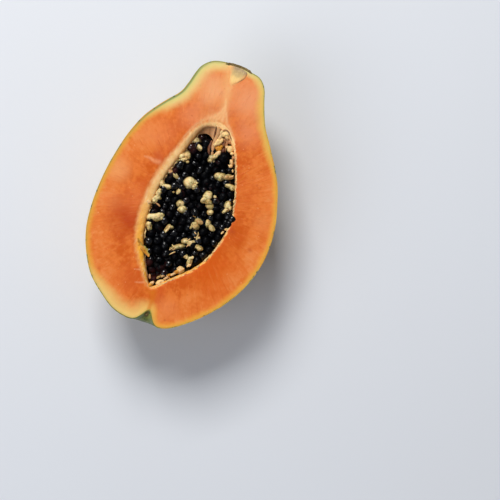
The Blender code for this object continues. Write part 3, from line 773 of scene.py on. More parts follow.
def flesh_material():
    """Moist orange flesh: deeper beside the cavity, yellow under the skin, with its pale lining, painted
    shade deep in the cavity and in its pocket, and a painted shadow under the seeds at the rim.
    """
    made, spot, skin_gap, hollow_gap, along, across = new_material(
        "papaya flesh", "skin_gap", "hollow_gap", "along", "across", Specular_IOR_Level=0.2,
        Subsurface_Weight=0.1, Subsurface_Scale=0.003, Subsurface_Radius=(1.0, 0.35, 0.12), Coat_Weight=0.04,
        Coat_Roughness=0.25,
    )
    cloud = group("Mottle", spot, 9.0, 0.4, 0.36, 0.66)
    streak = noise(attribute(made, "grain", "Vector"), 1.3, 5.0, 0.65, 0.5)
    light = streak * 0.4 + cloud * 0.5 + rise(hollow_gap, 0.0, 24.0) * 0.45 - 0.25
    base = glaze(
        tint("flesh_deep"),
        (rise(light, 0.0, 0.6), tint("flesh")),
        (rise(light, 0.5, 1.15), tint("flesh_light")),
        # The patches include a painted shadow under the large seeds at the rim
        *((soft_patch(spot, *patch[:3]) * patch[3], srgb(*patch[4:])) for patch in FLESH_PATCHES),
    )

    # Yellow margin under the skin: pale along the neck's left side, wide in the lobe beside the blossom end
    neck_left = rise(along, 50.0, 30.0) * rise(across, 2.0, -16.0)
    neck_right = rise(along, 56.0, 34.0) * rise(across, 4.0, 18.0)
    lobe = rise(along, 133.0, 150.0) * rise(across, 10.0, -10.0)
    ragged = (noise(spot, 6.0, 4.0) - 0.5) * 3.4
    reach = skin_gap / (neck_left * 3.4 + neck_right * 1.4 + lobe * 5.0 + ragged + 2.6)
    pale = calc("MAXIMUM", calc("MAXIMUM", neck_left, rise(along, 22.0, 2.0)), lobe * 0.6)
    margin = glaze(tint("margin"), (pale, tint("margin_pale")), (neck_right * 0.8, srgb(226, 188, 92)))
    green_side = rise(across, 4.0, -20.0) * rise(along, 66.0, 30.0) * rise(along, 2.0, 14.0, 0.3, 1.0)

    # Streaks that run out from the cavity, the margin, the core's pale fibres with their glow, the seam, the
    # scars in the flesh, and flecks
    threads = noise(vector("MULTIPLY", spot, (1.0, 0.25, 1.0)), 0.9, 4.0, 0.6) * 0.9
    fibres = attribute(made, "core_fibres") * (threads + 0.35)
    scars = attribute(made, "vein") * (threads + 0.4)
    pale_flecks = group("Flecks", spot, 3.2, 0.45, 0.8, 0.3)
    base = glaze(
        base,
        (rise(streak, 0.56, 0.74, 0.0, 0.3), tint("flesh_light")),
        (rise(streak, 0.42, 0.3, 0.0, 0.3), srgb(196, 82, 22)),
        (rise(reach, 1.5, 0.0), margin),
        (rise(skin_gap, 4.2, 0.6) * green_side * 0.4, srgb(206, 206, 112)),
        (rise(skin_gap, 1.5, 0.2) * (green_side * 0.75 + 0.15), tint("margin_green")),
        (attribute(made, "core_glow") * (threads + 0.3) * 0.72, srgb(244, 184, 118)),
        (rise(fibres, 0.0, 1.2, 0.0, 0.7), srgb(250, 198, 140)),
        (attribute(made, "seam_line") * 0.75, srgb(214, 112, 16)),
        (attribute(made, "vein_shade") * 0.6, srgb(204, 92, 42)),
        (rise(scars, 0.0, 1.2, 0.0, 0.55), srgb(248, 178, 130)),
        (pale_flecks * 0.4, srgb(250, 178, 120)),
        (group("Flecks", spot, 7.0, 1.0, 0.9, 0.4) * 0.45, srgb(186, 78, 24)),
    )

    # Lining of the cavity: cream above, golden below, with painted shade deep down by the seeds, in the pocket
    # at the stem end and on the left beside the pocket
    torn = (noise(spot, 2.6, 4.0) - 0.5) * 2.6 + hollow_gap
    left = rise(across, 3.0, -8.0)
    pale_side = noise(vector("MULTIPLY", spot, (1.0, 0.3, 1.0)), 1.6, 3.0)
    # Painted shade on the lining's left side beside the pocket, laid on below
    shade = rise(along, 60.0, 47.0) * rise(hollow_gap, -1.5, -4.5)
    lining = glaze(
        tint("lining"),
        (rise(along, 70.0, 122.0), tint("lining_gold")),
        (rise(torn, -3.2, -0.2) * left * 0.75, srgb(246, 172, 108)),
        (group("Mottle", spot, 3.2, 0.5, 0.45, 0.75) * 0.7, srgb(238, 160, 62)),
        (rise(pale_side, 0.48, 0.7, 0.0, 0.7), srgb(255, 214, 156)),
        # Painted shade: the lining darkens deep in the cavity by the seeds
        (rise(hollow_gap, -6.0, -9.0) * 0.8, srgb(120, 62, 28)),
        # Painted shade in the pocket at the stem end
        (rise(along, 47.0, 40.0) * rise(hollow_gap, -2.5, -4.6), tint("pocket")),
        (shade * left * 0.7, srgb(176, 132, 84)),
        (rise(torn, -4.4, -6.4) * left * 0.55, srgb(206, 138, 62)),
        (group("Flecks", spot, 1.7, 0.3, 0.6, 0.22) * 0.35, srgb(200, 124, 56)),
    )
    base = glaze(base, (rise(torn, left * 1.1 + 0.45, left * -1.9 - 0.3), lining))
    height = group("Grain Relief", spot, 2.6, 0.16, 0.45, 0.05) + streak * 0.2 + pale_flecks * 0.05
    return wire(made, base, rise(cloud, 0.0, 1.0, 0.5, 0.36), height)


def skin_material():
    """Thin waxy skin: gold with green clouds, dark green specks with pale rings, greener at the neck."""
    made, spot, along, across = new_material(
        "papaya skin", "along", "across", Specular_IOR_Level=0.5, Coat_Weight=0.25, Coat_Roughness=0.25,
    )
    cloud = group("Mottle", spot, 30.0, 0.4, 0.42, 0.64)
    end = rise(along, 147.0, 158.0) * rise(across, 12.0, 5.0)
    green = rise(along, 46.0, 4.0) * 0.8 + cloud * 0.3 + rise(across, 10.0, -45.0) * 0.15
    green = green + end * rise(across, -14.0, -6.0)

    # Dark green specks crowd in clusters, where their pale rings run together to an olive haze
    crowd = group("Mottle", spot, 17.0, 0.45, 0.36, 0.66)
    core = rise(crowd, 0.7, 1.0) * group("Mottle", spot, 2.6, 0.5, 0.42, 0.6)
    base = glaze(
        tint("skin_gold"),
        (group("Mottle", spot, 20.0, 0.4, 0.4, 0.66), srgb(214, 138, 40)),
        (group("Mottle", spot, 13.0, 0.3, 0.52, 0.7) * 0.6, srgb(240, 190, 54)),
        (rise(green, 0.1, 1.0, 0.0, 0.85), tint("skin_green")),
        (end * 0.85, srgb(70, 96, 36)),
        (group("Mottle", spot, 8.0, 0.6, 0.6, 0.74) * 0.3, srgb(150, 108, 52)),
        (rise(crowd, 0.4, 1.0) * 0.55, srgb(152, 148, 48)),
        (core * 0.75, srgb(70, 104, 56)),
    )
    share = crowd * 0.85 + 0.16
    shifted = vector("ADD", spot, (41.0, 17.0, 9.0))
    specks = []
    for where, spacing, size, strength in ((spot, 3.0, 0.95, 0.9), (shifted, 2.6, 0.75, 0.85)):
        halo = group("Flecks", where, spacing, 2 * size, 0.8, share)
        specks.append(group("Flecks", where, spacing, size, 0.6, share))
        base = glaze(base, (halo * 0.35, srgb(170, 170, 66)), (specks[-1] * strength, tint("skin_speck")))
    base = glaze(base, (group("Flecks", spot, 1.5, 0.28, 0.5, 0.3) * 0.4, srgb(110, 112, 44)))
    height = group("Grain Relief", spot, 4.0, 0.12, 0.6, 0.02) - calc("MAXIMUM", *specks) * 0.05
    return wire(made, base, rise(cloud, 0.0, 1.0, 0.36, 0.44), height)


def scar_material():
    """Dry corky scar in browns and greys."""
    made, spot = new_material("papaya scar", Specular_IOR_Level=0.3)
    cork = group("Mottle", spot, 1.4, 0.5, 0.35, 0.68)
    base = glaze(
        tint("scar"), (cork, srgb(150, 128, 78)),
        (group("Mottle", spot, 3.0, 0.3, 0.55, 0.7) * 0.45, srgb(96, 112, 44)),
    )
    height = group("Grain Relief", spot, 1.0, 0.35, 0.25, 0.12)
    return wire(made, base, rise(cork, 0.0, 1.0, 0.85, 0.65), height)


def plug_material():
    """Cut stem plug: tan fibres that run down from the scar, brown at its edge."""
    made, spot, along, across, rim = new_material(
        "papaya stem plug", "along", "across", "rim", Specular_IOR_Level=0.4,
    )
    fibres = noise(vector("MULTIPLY", spot, (1.0, 0.22, 1.0)), 0.7, 4.0, 0.6)
    ragged = noise(spot, 2.4, 3.0) * 4.0 + along
    brown = rise(fibres * 0.9 + rim, 2.1, 1.1) * rise(along, 11.0, 7.5) * rise(across, -0.5, 1.0, 0.0, 0.85)
    base = glaze(
        srgb(166, 140, 108),
        (rise(ragged, 3.6, 6.6), tint("plug")),
        (rise(ragged, 6.5, 9.5), srgb(250, 206, 126)),
        (rise(fibres, 0.45, 0.7, 0.0, 0.5), srgb(232, 202, 140)),
        (rise(fibres * 2.4 + across, -0.2, -4.0), srgb(244, 184, 112)),
        (rise(fibres * 2.4 + rim, 4.0, 1.6) * rise(along, 1.5, 4.5), srgb(240, 166, 102)),
        (brown, srgb(140, 98, 50)),
        (group("Flecks", spot, 2.6, 0.6, 0.7, 0.4) * 0.5, srgb(132, 92, 48)),
    )
    return wire(made, base, rise(fibres, 0.0, 1.0, 0.6, 0.45), fibres * 0.25)


def seed_material():
    """Black seeds in a thin wet coat that shines on some of them."""
    made, spot, tone = new_material("papaya seed", "tone", Specular_IOR_Level=0.05, Coat_Roughness=0.12)
    cloud = noise(spot, 1.6, 3.0)
    base = glaze(
        tint("seed"),
        (rise(cloud, 0.5, 0.8, 0.0, 0.6), srgb(12, 15, 24)),
        (group("Mottle", spot, 12.0, 0.5, 0.56, 0.7) * 0.8, srgb(44, 18, 18)),
        *((soft_patch(spot, *patch) * 0.9, srgb(58, 22, 20)) for patch in PURPLE_PATCHES),
    )
    wet = rise(tone, 0.35, 0.85) * rise(cloud, 0.36, 0.54)
    height = group("Grain Relief", spot, 1.5, 0.5, 0.5, 0.05)
    return wire(made, base, rise(tone, 0.0, 1.0, 0.45, 0.3), height, wet * 0.98 + 0.02)


def pale_material():
    """Pale undeveloped seeds: cream, olive or tan by their tone, with a painted highlight on the crests of
    their folds, painted shade in the folds and painted shade lower down in the heap.
    """
    made, spot, tone = new_material(
        "papaya pale seed", "tone", Specular_IOR_Level=0.4, Subsurface_Weight=0.15, Subsurface_Scale=0.0015,
    )
    folds = noise(spot, 1.7, 4.0, 0.6)
    level = add("ShaderNodeSeparateXYZ", {0: spot}, "Z")
    base = glaze(
        tint("pale_seed"),
        (rise(tone, 0.15, 0.55), srgb(170, 148, 84)),
        (rise(tone, 0.6, 1.0), srgb(204, 146, 92)),
        # Painted highlight on the crests of the folds
        (rise(folds, 0.5, 0.7, 0.0, 0.6), srgb(250, 232, 184)),
        (rise(noise(spot, 4.0, 2.0), 0.48, 0.68, 0.0, 0.7), srgb(190, 148, 78)),
        # Painted shade in the folds
        (rise(folds, 0.46, 0.34, 0.0, 0.85), srgb(112, 82, 38)),
        # Painted shade, darker the lower the point lies below the cut face
        (rise(level, FACE_Z - 2.3, FACE_Z - 4.4, 0.0, 0.9), srgb(48, 34, 18)),
    )
    height = group("Grain Relief", spot, 1.3, 0.4, 0.4, 0.1)
    return wire(made, base, rise(folds, 0.0, 1.0, 0.65, 0.42), height)


def fibre_material():
    """Torn strands and tufts of lining: cream, tan or brown by their tone."""
    made, spot, tone = new_material(
        "papaya fibre", "tone", Specular_IOR_Level=0.35, Subsurface_Weight=0.12, Subsurface_Scale=0.0015,
    )
    streak = noise(spot, 1.2, 4.0, 0.6)
    base = glaze(
        srgb(96, 50, 28),
        (rise(tone, 0.0, 0.4), srgb(192, 136, 90)),
        (rise(tone, 0.4, 0.75), tint("fibre")),
        (rise(tone, 0.75, 1.0), srgb(250, 208, 140)),
        (rise(streak, 0.5, 0.3, 0.0, 0.6), srgb(172, 112, 54)),
    )
    return wire(made, base, rise(streak, 0.0, 1.0, 0.6, 0.4), streak * 0.3)


def flap_material():
    """Golden peeling lining with an olive edge."""
    made, spot, edge = new_material(
        "papaya flap", "edge", Specular_IOR_Level=0.35, Subsurface_Weight=0.1, Subsurface_Scale=0.0015,
    )
    cloud = noise(spot, 2.0, 4.0, 0.6)
    edge = cloud * 0.5 + edge
    base = glaze(
        srgb(178, 108, 20),
        (rise(cloud, 0.3, 0.7), srgb(226, 156, 48)),
        (rise(edge, 0.65, 1.1, 0.0, 0.9), srgb(160, 154, 74)),
        (rise(edge, 0.15, 0.0, 0.0, 0.8), srgb(120, 74, 20)),
    )
    return wire(made, base, rise(cloud, 0.0, 1.0, 0.55, 0.4), cloud * 0.4)


def bed_material():
    """Dark wet pulp between the seeds."""
    made, spot = new_material("papaya pulp", Specular_IOR_Level=0.4)
    cloud = noise(spot, 3.0, 4.0)
    base = glaze(srgb(8, 6, 6), (rise(cloud, 0.4, 0.75), srgb(34, 18, 10)))
    return wire(made, base, rise(cloud, 0.0, 1.0, 0.3, 0.5), cloud * 0.5)


# Lumps and strands


def grow(source, kind, name, **inputs):
    """The plain mesh object that a shared geometry group makes of the source, which goes."""
    modifier = source.modifiers.new("grow", "NODES")
    modifier.node_group = shared(kind)
    for item in modifier.node_group.interface.items_tree:
        key = item.name.lower().replace(" ", "_")
        if item.item_type == "SOCKET" and item.in_out == "INPUT" and key in inputs:
            modifier[item.identifier] = inputs[key]
    graph = bpy.context.evaluated_depsgraph_get()
    mesh = bpy.data.meshes.new_from_object(source.evaluated_get(graph))
    mesh.name = name
    bpy.data.objects.remove(source)
    return in_scene(name, mesh)


def grow_lumps(name, points, sizes, turns, tones, **inputs):
    """A piece of wrinkled lumps at points, by their sizes, turns and tones."""
    held = {"size": sizes, "turn": turns, "tone": tones}
    return grow(in_scene("points", plain_mesh("points", points, [], held)), "Wrinkled Lumps", name, **inputs)


def grow_strands(name, strands, **inputs):
    """A piece of strands through points (s, r, height, radius factor), each list after its tone."""
    data = bpy.data.curves.new("strands", "CURVE")
    data.dimensions = "3D"
    for tone, strand in strands:
        dense = even(rounded(strand, steps=6), 4 * len(strand))
        spline = data.splines.new("POLY")
        spline.points.add(len(dense) - 1)
        where = place(*dense[:, :3].T)
        spline.points.foreach_set("co", np.column_stack([where, np.ones(len(dense))]).ravel())
        spline.points.foreach_set("radius", dense[:, 3].ravel())
        spline.points.foreach_set("tilt", np.full(len(dense), tone))
    return grow(in_scene("strands", data), "Soft Strands", name, thickness=STRAND_THICKNESS * MM, **inputs)


# Shape of the fruit


STATIONS = 241
TURNS = 73
FACE_STEPS = 56
WALL_STEPS = 34
REST_SOFTNESS = 0.3
FAR_AWAY = 30.0
# Waves as their lengths and amount: in the cut face, the cavity's wall, its rim and the stem plug
KNIFE_WAVES = (9.0, 14.0, 23.0, 31.0, 47.0), 0.5
KNIFE_SCRATCHES = (2.1, 2.9, 4.3, 5.2), 0.12
WALL_LUMPS = (3.1, 4.7, 6.3, 9.1), 0.35
RIM_WAVES = (2.3, 3.1, 4.4, 6.0), 1.0
PLUG_WAVES = (1.3, 1.9, 2.7), 1.0
# Rounded lip of the cut face at the cavity, and the hollow of the scar
LIP_DROP = 0.2
LIP_WIDTH = 0.6
HOLLOW_DEPTH = 0.45
HOLLOW_RADIUS = 8.8
HOLLOW_EDGE = 1.6
# How fast the flesh's grain changes round the cavity and out from it
GRAIN_ROUND = 52.0
GRAIN_OUT = 0.14


def fruit_surface():
    """The half's outer surface as a grid from the left edge under the fruit to the right edge."""
    left = even(rounded(LEFT_SIDE), STATIONS)
    right = even(rounded(RIGHT_SIDE), STATIONS)
    turn = np.linspace(-math.pi, 0.0, TURNS)
    share = 0.5 - 0.5 * np.cos(turn)
    along, across = (share * left[:, i, None] + (1 - share) * right[:, i, None] for i in (0, 1))
    across = across * (1 + RIDGE_HEIGHT * np.sin(turn) ** 2 * np.cos(RIDGES * turn))
    points = place(along, across * np.cos(turn), across * np.sin(turn))
    points[..., 2] = 0.5 * (points[..., 2] + np.sqrt(points[..., 2] ** 2 + (REST_SOFTNESS * MM) ** 2))
    points[:, (0, -1), 2] = FACE_Z * MM
    return points


def inward(grid, depth):
    """The grid moved inwards by a depth in metres, with its edges kept at the cut face."""
    normal = np.cross(np.gradient(grid, axis=1), np.gradient(grid, axis=0))
    normal /= np.maximum(np.linalg.norm(normal, axis=-1, keepdims=True), 1e-12)
    normal[0], normal[-1] = (0, 1, 0), (0, -1, 0)
    moved = grid - normal * depth
    moved[:, (0, -1), 2] = grid[:, (0, -1), 2]
    return moved


def cavity_wall(angle):
    """Rings of the cavity's wall from the rim down, as (ring, angle, 3) in the fruit's own measure."""
    rows = even(np.array(CAVITY_WALL) * WALL_WEIGHTS, WALL_STEPS) / WALL_WEIGHTS
    rim, foot = polar_radius(CAVITY_RIM, angle), polar_radius(CAVITY_FOOT, angle)
    rings = []
    for height, share, scale in rows:
        ring = about_middle((rim + (foot - rim) * share) * scale, angle)
        rings.append(np.stack([*ring, np.full_like(angle, height)], axis=-1))
    return np.array(rings)


def build_flesh():
    """The flesh as one closed mesh: cut face, cavity wall and the side under the skin."""
    sizes = bpy.context.scene.papaya_sizes
    rng = draws(1)
    side = inward(fruit_surface(), sizes.skin + 0.02 * MM)
    outline = measure(np.vstack([side[:, -1], side[-2:0:-1, 0]]))
    offset = outline - CAVITY_MIDDLE
    angle = np.arctan2(offset[:, 1], offset[:, 0])
    wall = cavity_wall(angle)

    # Cut face between the rim and the outline, with knife waves and a rounded lip at the cavity
    share = (1 - np.cos(np.linspace(0, math.pi, FACE_STEPS))) / 2 * 0.6 + np.linspace(0, 1, FACE_STEPS) * 0.4
    face = wall[0, None, :, :2] * (1 - share[:, None, None]) + outline[None] * share[:, None, None]
    flat = face.reshape(-1, 2)
    rim_gap, skin_gap = (
        nearest_on(flat, line)[0].reshape(face.shape[:2])
        for line in (rounded(CAVITY_RIM, closed=True, steps=24), outline)
    )
    knife = waves(face, *KNIFE_WAVES, rng) + waves(face, *KNIFE_SCRATCHES, rng)
    drop = sizes.flesh_drop / MM + sizes.knife_marks / MM * (0.62 - knife) * smooth_step(skin_gap / 3.0)
    drop = drop + LIP_DROP * np.exp(-((rim_gap / LIP_WIDTH) ** 2))
    top = place(face[..., 0], face[..., 1], -drop)
    side[:, (0, -1), 2] = top[-1, 0, 2]
    top[-1, :, 2] = top[-1, 0, 2]

    lumps = waves(wall[..., :2] + wall[..., 2:] * 0.7, *WALL_LUMPS, rng)
    sunk = smooth_step(-wall[..., 2] / 3.0)
    ragged = 1 + waves(wall[..., :2], *RIM_WAVES, rng)
    wall[..., 2] -= 0.22 * smooth_step(-wall[..., 2] / 0.4) * ragged
    ends = (wall[..., :2] - CAVITY_MIDDLE) * (1 + sunk * lumps / 40)[..., None] + CAVITY_MIDDLE
    inner = place(ends[..., 0], ends[..., 1], wall[..., 2] - drop[0])
    floor = place(*CAVITY_MIDDLE, CAVITY_FLOOR)

    columns = len(outline)
    points = np.vstack([top.reshape(-1, 3), inner.reshape(-1, 3), side.reshape(-1, 3), floor])
    first_inner, first_side = top.shape[0] * columns, (top.shape[0] + inner.shape[0]) * columns
    last_ring = first_inner + (inner.shape[0] - 1) * columns + np.arange(columns)
    fan = [[int(a), int(b), len(points) - 1] for a, b in zip(last_ring, np.roll(last_ring, -1))]
    faces = [
        *grid_faces(top.shape[0], columns, closed=True).tolist(),
        *grid_faces(inner.shape[0], columns, first_inner, closed=True).tolist(),
        *grid_faces(STATIONS, TURNS, first_side).tolist(), *fan,
    ]

    where = measure(points)
    counts = [first_inner, first_side - first_inner, len(points) - first_side]
    steps = np.cumsum(np.linalg.norm(np.diff(inner, axis=0, prepend=inner[:1]), axis=-1), axis=0) / MM
    hollow = np.concatenate([rim_gap.ravel(), -steps.ravel(), np.full(counts[2], FAR_AWAY)])
    skin = np.concatenate([skin_gap.ravel(), np.full(counts[1], FAR_AWAY), np.zeros(counts[2])])
    bearing = np.arctan2(where[:, 1] - CAVITY_MIDDLE[1], where[:, 0] - CAVITY_MIDDLE[0])
    grain = np.column_stack([GRAIN_ROUND * np.cos(bearing), GRAIN_ROUND * np.sin(bearing), GRAIN_OUT * hollow])
    on_face = np.concatenate([np.ones(counts[0]), np.zeros(counts[1] + counts[2])])
    values = {
        "skin_gap": skin, "hollow_gap": hollow, "grain": grain, "along": where[:, 0], "across": where[:, 1],
        **{
            key: np.max([nearness(where, path) for path in paths], axis=0) * on_face
            for key, paths in FACE_LINES.items()
        },
    }
    return mesh_piece("papaya_flesh", points, faces, values, sharp=50)


def build_skin():
    """The skin as a thin closed shell round the flesh, with a hollow for the scar at the stem end."""
    outer = fruit_surface()
    inner = inward(outer, bpy.context.scene.papaya_sizes.skin)
    across = np.hypot(measure(outer)[..., 1], outer[..., 2] / MM - FACE_Z)
    near_stem = (np.arange(STATIONS) < 40)[:, None]
    outer[..., 1] -= HOLLOW_DEPTH * MM * smooth_step((HOLLOW_RADIUS - across) / HOLLOW_EDGE) * near_stem
    where = measure(np.vstack([outer, inner])).reshape(-1, 2)
    values = {"along": where[:, 0], "across": where[:, 1]}
    return shell("papaya_skin", (outer, inner), SIDES, values, sharp=50)


def build_scar():
    """The corky half disc at the stem end."""
    rng = draws(2)
    rings, turns = 14, 49
    turn = np.linspace(-math.pi, 0.0, turns)
    outline = SCAR_RADIUS + 0.35 * np.sin(3 * turn) + 0.2 * np.sin(7 * turn + 1)
    reach = np.linspace(0.0, 1.0, rings)[:, None] * outline
    across, height = reach * np.cos(turn), reach * np.sin(turn)
    rough = 0.28 * rng.random((rings, turns)) * smooth_step((reach + 1) / 2)
    dome = -0.98 + 0.0145 * reach**2
    edge = smooth_step((np.linspace(1, 0, rings)[:, None]) / 0.16)
    front = place(dome + rough + 0.6 * (1 - edge), across, height)
    back = place(dome + SCAR_THICKNESS, across, height)
    return shell("papaya_stem_scar", (front, back), (*SIDES, -1))


def build_plug():
    """The cut stem plug as a thin inlay in the cut face."""
    rng = draws(3)
    outline = even(np.vstack([rounded(PLUG_OUTLINE, closed=True), PLUG_OUTLINE[:1]]), 97)[:-1]
    share = np.linspace(1.0, 0.0, 12)[:, None, None]
    rings = PLUG_MIDDLE + (outline[None] - PLUG_MIDDLE) * share
    height = -0.06 - 0.1 * waves(rings, *PLUG_WAVES, rng) ** 2
    height = height - 0.5 * smooth_step((share[..., 0] - 0.76) / 0.24)
    top = place(rings[..., 0], rings[..., 1], height)
    bottom = place(outline[:, 0], outline[:, 1], np.full(len(outline), -1.2))
    points = np.vstack([bottom, top.reshape(-1, 3)])
    faces = grid_faces(13, len(outline), closed=True).tolist() + [list(range(len(outline)))]
    where = measure(points)
    rim = np.concatenate([np.zeros(len(outline)), np.repeat(1 - share[:, 0, 0], len(outline)) * 6])
    return mesh_piece("papaya_stem_plug", points, faces, {
        "along": where[:, 0], "across": where[:, 1], "rim": rim,
    })


def build_nub():
    """The small dry nub in the dimple at the blossom end."""
    rng = draws(4)
    steps, turns = 10, 17
    turn = np.linspace(0, 2 * math.pi, turns)[:-1]
    rows = []
    for step in np.linspace(0.0, 1.0, steps):
        radius = (NUB_RADIUS - NUB_TAPER * step) * math.sqrt(max(1.0 - step**4, 0.0)) + 0.02
        wobble = radius * (1 + 0.16 * np.sin(3 * turn + 1) + 0.1 * rng.random(turns - 1))
        s, r, height = NUB_PLACE
        rows.append(place(s + NUB_LENGTH * step, r + wobble * np.cos(turn), height + wobble * np.sin(turn)))
    points = np.array(rows).reshape(-1, 3)
    faces = grid_faces(steps, turns - 1, closed=True).tolist()
    faces += [list(range(turns - 1)), list(range((steps - 1) * (turns - 1), steps * (turns - 1)))]
    return mesh_piece("papaya_blossom_nub", points, faces)


# Seeds and strands


def keep_inside(points, insets):
    """Moves points (s, r) that are nearer to the foot of the cavity's wall than their inset inwards."""
    wall = rounded(CAVITY_FOOT, closed=True)
    tangent = np.roll(wall, -1, axis=0) - np.roll(wall, 1, axis=0)
    inward_side = np.column_stack([-tangent[:, 1], tangent[:, 0]]) / np.hypot(*tangent.T)[:, None]
    inward_side *= np.sign((inward_side[0] * (CAVITY_MIDDLE - wall[0])).sum())
    gap = points[:, None] - wall[None]
    nearest = np.hypot(gap[..., 0], gap[..., 1]).argmin(axis=1)
    depth = ((points - wall[nearest]) * inward_side[nearest]).sum(axis=1)
    return points + inward_side[nearest] * np.clip(insets - depth, 0.0, None)[:, None]


def heap_height(along):
    """Height of the seeds' centres: a low crown that drops into a pocket at the cavity's stem end."""
    near = np.clip((52.0 - along) / 13.0, 0.0, 1.0)
    return HEAP_TOP - POCKET_DROP * near**2 * (3 - 2 * near) - ((along - CAVITY_MIDDLE[0]) / 60.0) ** 2


def scatter_seeds(rng, count, fixed):
    """Seed centres (s, r), fixed ones first: random points pushed apart until they fill the heap."""
    angle = rng.uniform(-math.pi, math.pi, count)
    reach = np.sqrt(rng.uniform(0.0, 1.0, count)) * polar_radius(CAVITY_FOOT, angle)
    loose = np.column_stack(about_middle(reach, angle))
    kept = np.array([seed[:2] for seed in fixed]).reshape(-1, 2)
    insets = np.array([seed[2] for seed in fixed] + [SEED_RADIUS[1] * SEED_STRETCH] * count)
    room = np.array([seed[2] + seed[3] for seed in fixed] + list(rng.uniform(*SEED_PITCH, count)))
    points = keep_inside(np.vstack([kept, loose]), insets + SEED_WALL_GAP)
    kept = points[: len(kept)]
    for _ in range(RELAX_STEPS):
        gap = points[:, None] - points[None]
        distance = np.maximum(np.hypot(gap[..., 0], gap[..., 1]), 1e-6)
        push = np.clip((room[:, None] + room[None]) / 2 - distance, 0.0, None) / distance
        points = points + 0.3 * (gap * push[..., None]).sum(axis=1)
        points = np.round(keep_inside(points, insets + SEED_WALL_GAP), 7)
        points[: len(kept)] = kept
    for _ in range(4):
        points = np.round(keep_inside(points, insets + SEED_WALL_GAP), 7)
    return points


def build_black_seeds(material):
    """The black seeds: a layer at the solid's places, a lower one that fills its gaps, and large ones."""
    sizes = bpy.context.scene.papaya_sizes
    rng = draws(0)
    rows = []
    upper = scatter_seeds(rng, SEED_COUNT, PALE_SEEDS)[len(PALE_SEEDS):]
    for drop, centres in ((0.0, upper), (LOWER_DROP, scatter_seeds(rng, LOWER_SEEDS, []))):
        for along, across in centres:
            size = rng.uniform(*SEED_RADIUS) * sizes.seed_growth
            height = heap_height(along) - drop - rng.uniform(0.0, HEAP_ROUGH)
            turns = rng.uniform(-0.5, 0.5), rng.uniform(-0.5, 0.5), rng.uniform(0.0, math.pi)
            rows.append((along, across, height, size * SEED_STRETCH, size, size, *turns))
    rows = np.array(rows)
    other = draws(9)
    shape = other.uniform(0.88, 1.2, (len(rows), 1)) * other.uniform(0.92, 1.08, (len(rows), 3))
    rows[:, 1] *= SEED_SPREAD
    rows[:, 2] += other.uniform(-0.9, 0.6, len(rows)) * (rows[:, 0] > 50)
    large = [
        (s, r, heap_height(s) + lift, size, size, 0.92 * size, 0.2, 0.3, s) for s, r, size, lift in LARGE_SEEDS
    ]
    rows, shape = np.vstack([rows, large]), np.vstack([shape, np.ones((len(large), 3))])
    return grow_lumps(
        "papaya_black_seeds", place(*rows[:, :3].T), rows[:, 3:6] * shape * MM, rows[:, 6:],
        rng.random(len(rows)), segments=14, rings=9, wrinkle_size=2.6 * MM, wrinkle_depth=sizes.seed_wrinkle,
        wrinkle_detail=1.0, random_seed=3, material=material,
    )


def lump_rows(rng, table, crests):
    """Rows of place, size, turn and tone for lumps whose tops lie at the crests."""
    rows = []
    for (along, across, half, width, turn, tone, *_), crest in zip(table, crests):
        tilt, bend = rng.uniform(-0.25, 0.25, 2), math.radians(turn)
        rows.append((along, across, crest - 0.8 * width, half, width, 0.85 * width, *tilt, bend, tone))
        for _ in range(2 if half > 1.2 else 1):
            step, side = rng.uniform(-0.8, 0.8) * half, rng.uniform(-0.6, 0.6) * width
            size = rng.uniform(0.35, 0.6) * width
            rows.append((
                along - step * math.sin(bend) - side * math.cos(bend),
                across + step * math.cos(bend) - side * math.sin(bend),
                crest - rng.uniform(0.5, 1.0) * width, 1.4 * size, size, size, *rng.uniform(-1, 1, 3),
                tone + rng.uniform(-0.12, 0.12),
            ))
    return np.array(rows)


def grow_rows(name, rows, **inputs):
    """A piece of wrinkled lumps from their rows."""
    return grow_lumps(name, place(*rows[:, :3].T), rows[:, 3:6] * MM, rows[:, 6:9], rows[:, 9], **inputs)


def build_pale_seeds(material):
    """The pale undeveloped seeds at their places."""
    sizes = bpy.context.scene.papaya_sizes
    rng = draws(5)
    crests = [
        rng.uniform(-1.8, -1.1) - (1.2 if lump[0] < 58 else 0.0) - 0.4 * (lump[5] > 0.25) for lump in PALE_LUMPS
    ]
    rows = lump_rows(rng, PALE_LUMPS, crests)
    skirts = rows[rows[:, 3] > 1.3]
    skirts[:, 3:5] += 0.55
    skirts[:, :3] += np.column_stack([rng.uniform(-0.5, 0.5, (len(skirts), 2)), np.full(len(skirts), -0.9)])
    skirts[:, 9] = rng.uniform(0.45, 0.75, len(skirts))
    return grow_rows(
        "papaya_pale_seeds", np.vstack([rows, skirts]), segments=22, rings=15, wrinkle_size=2.4 * MM,
        wrinkle_depth=sizes.pale_wrinkle, wrinkle_detail=3.0, random_seed=8, material=material,
    )


def build_torn(name, material):
    """One of the pieces of torn lumps, with their tops at the heights in its table."""
    table, stream, segments, rings, size, depth, detail, random_seed = TORN[name]
    return grow_rows(
        name, lump_rows(draws(stream), table, [lump[6] for lump in table]), segments=segments, rings=rings,
        wrinkle_size=size * MM, wrinkle_depth=depth * MM, wrinkle_detail=detail, random_seed=random_seed,
        material=material,
    )


def along_rim(rng, angle, span, offset, height, thick, foot_share):
    """One strand that follows the cavity's rim or its lining's foot over a span of angle."""
    turns = angle + np.linspace(0.0, span, 6)
    rim, foot = polar_radius(CAVITY_RIM, turns), polar_radius(CAVITY_FOOT, turns)
    reach = rim + (foot - rim) * foot_share - offset - rng.uniform(-0.3, 0.3, 6)
    heights = height + rng.uniform(-0.35, 0.35, 6)
    widths = thick * np.array([0.3, 0.8, 1.0, 1.0, 0.7, 0.25])
    return list(zip(*about_middle(reach, turns), heights, widths))


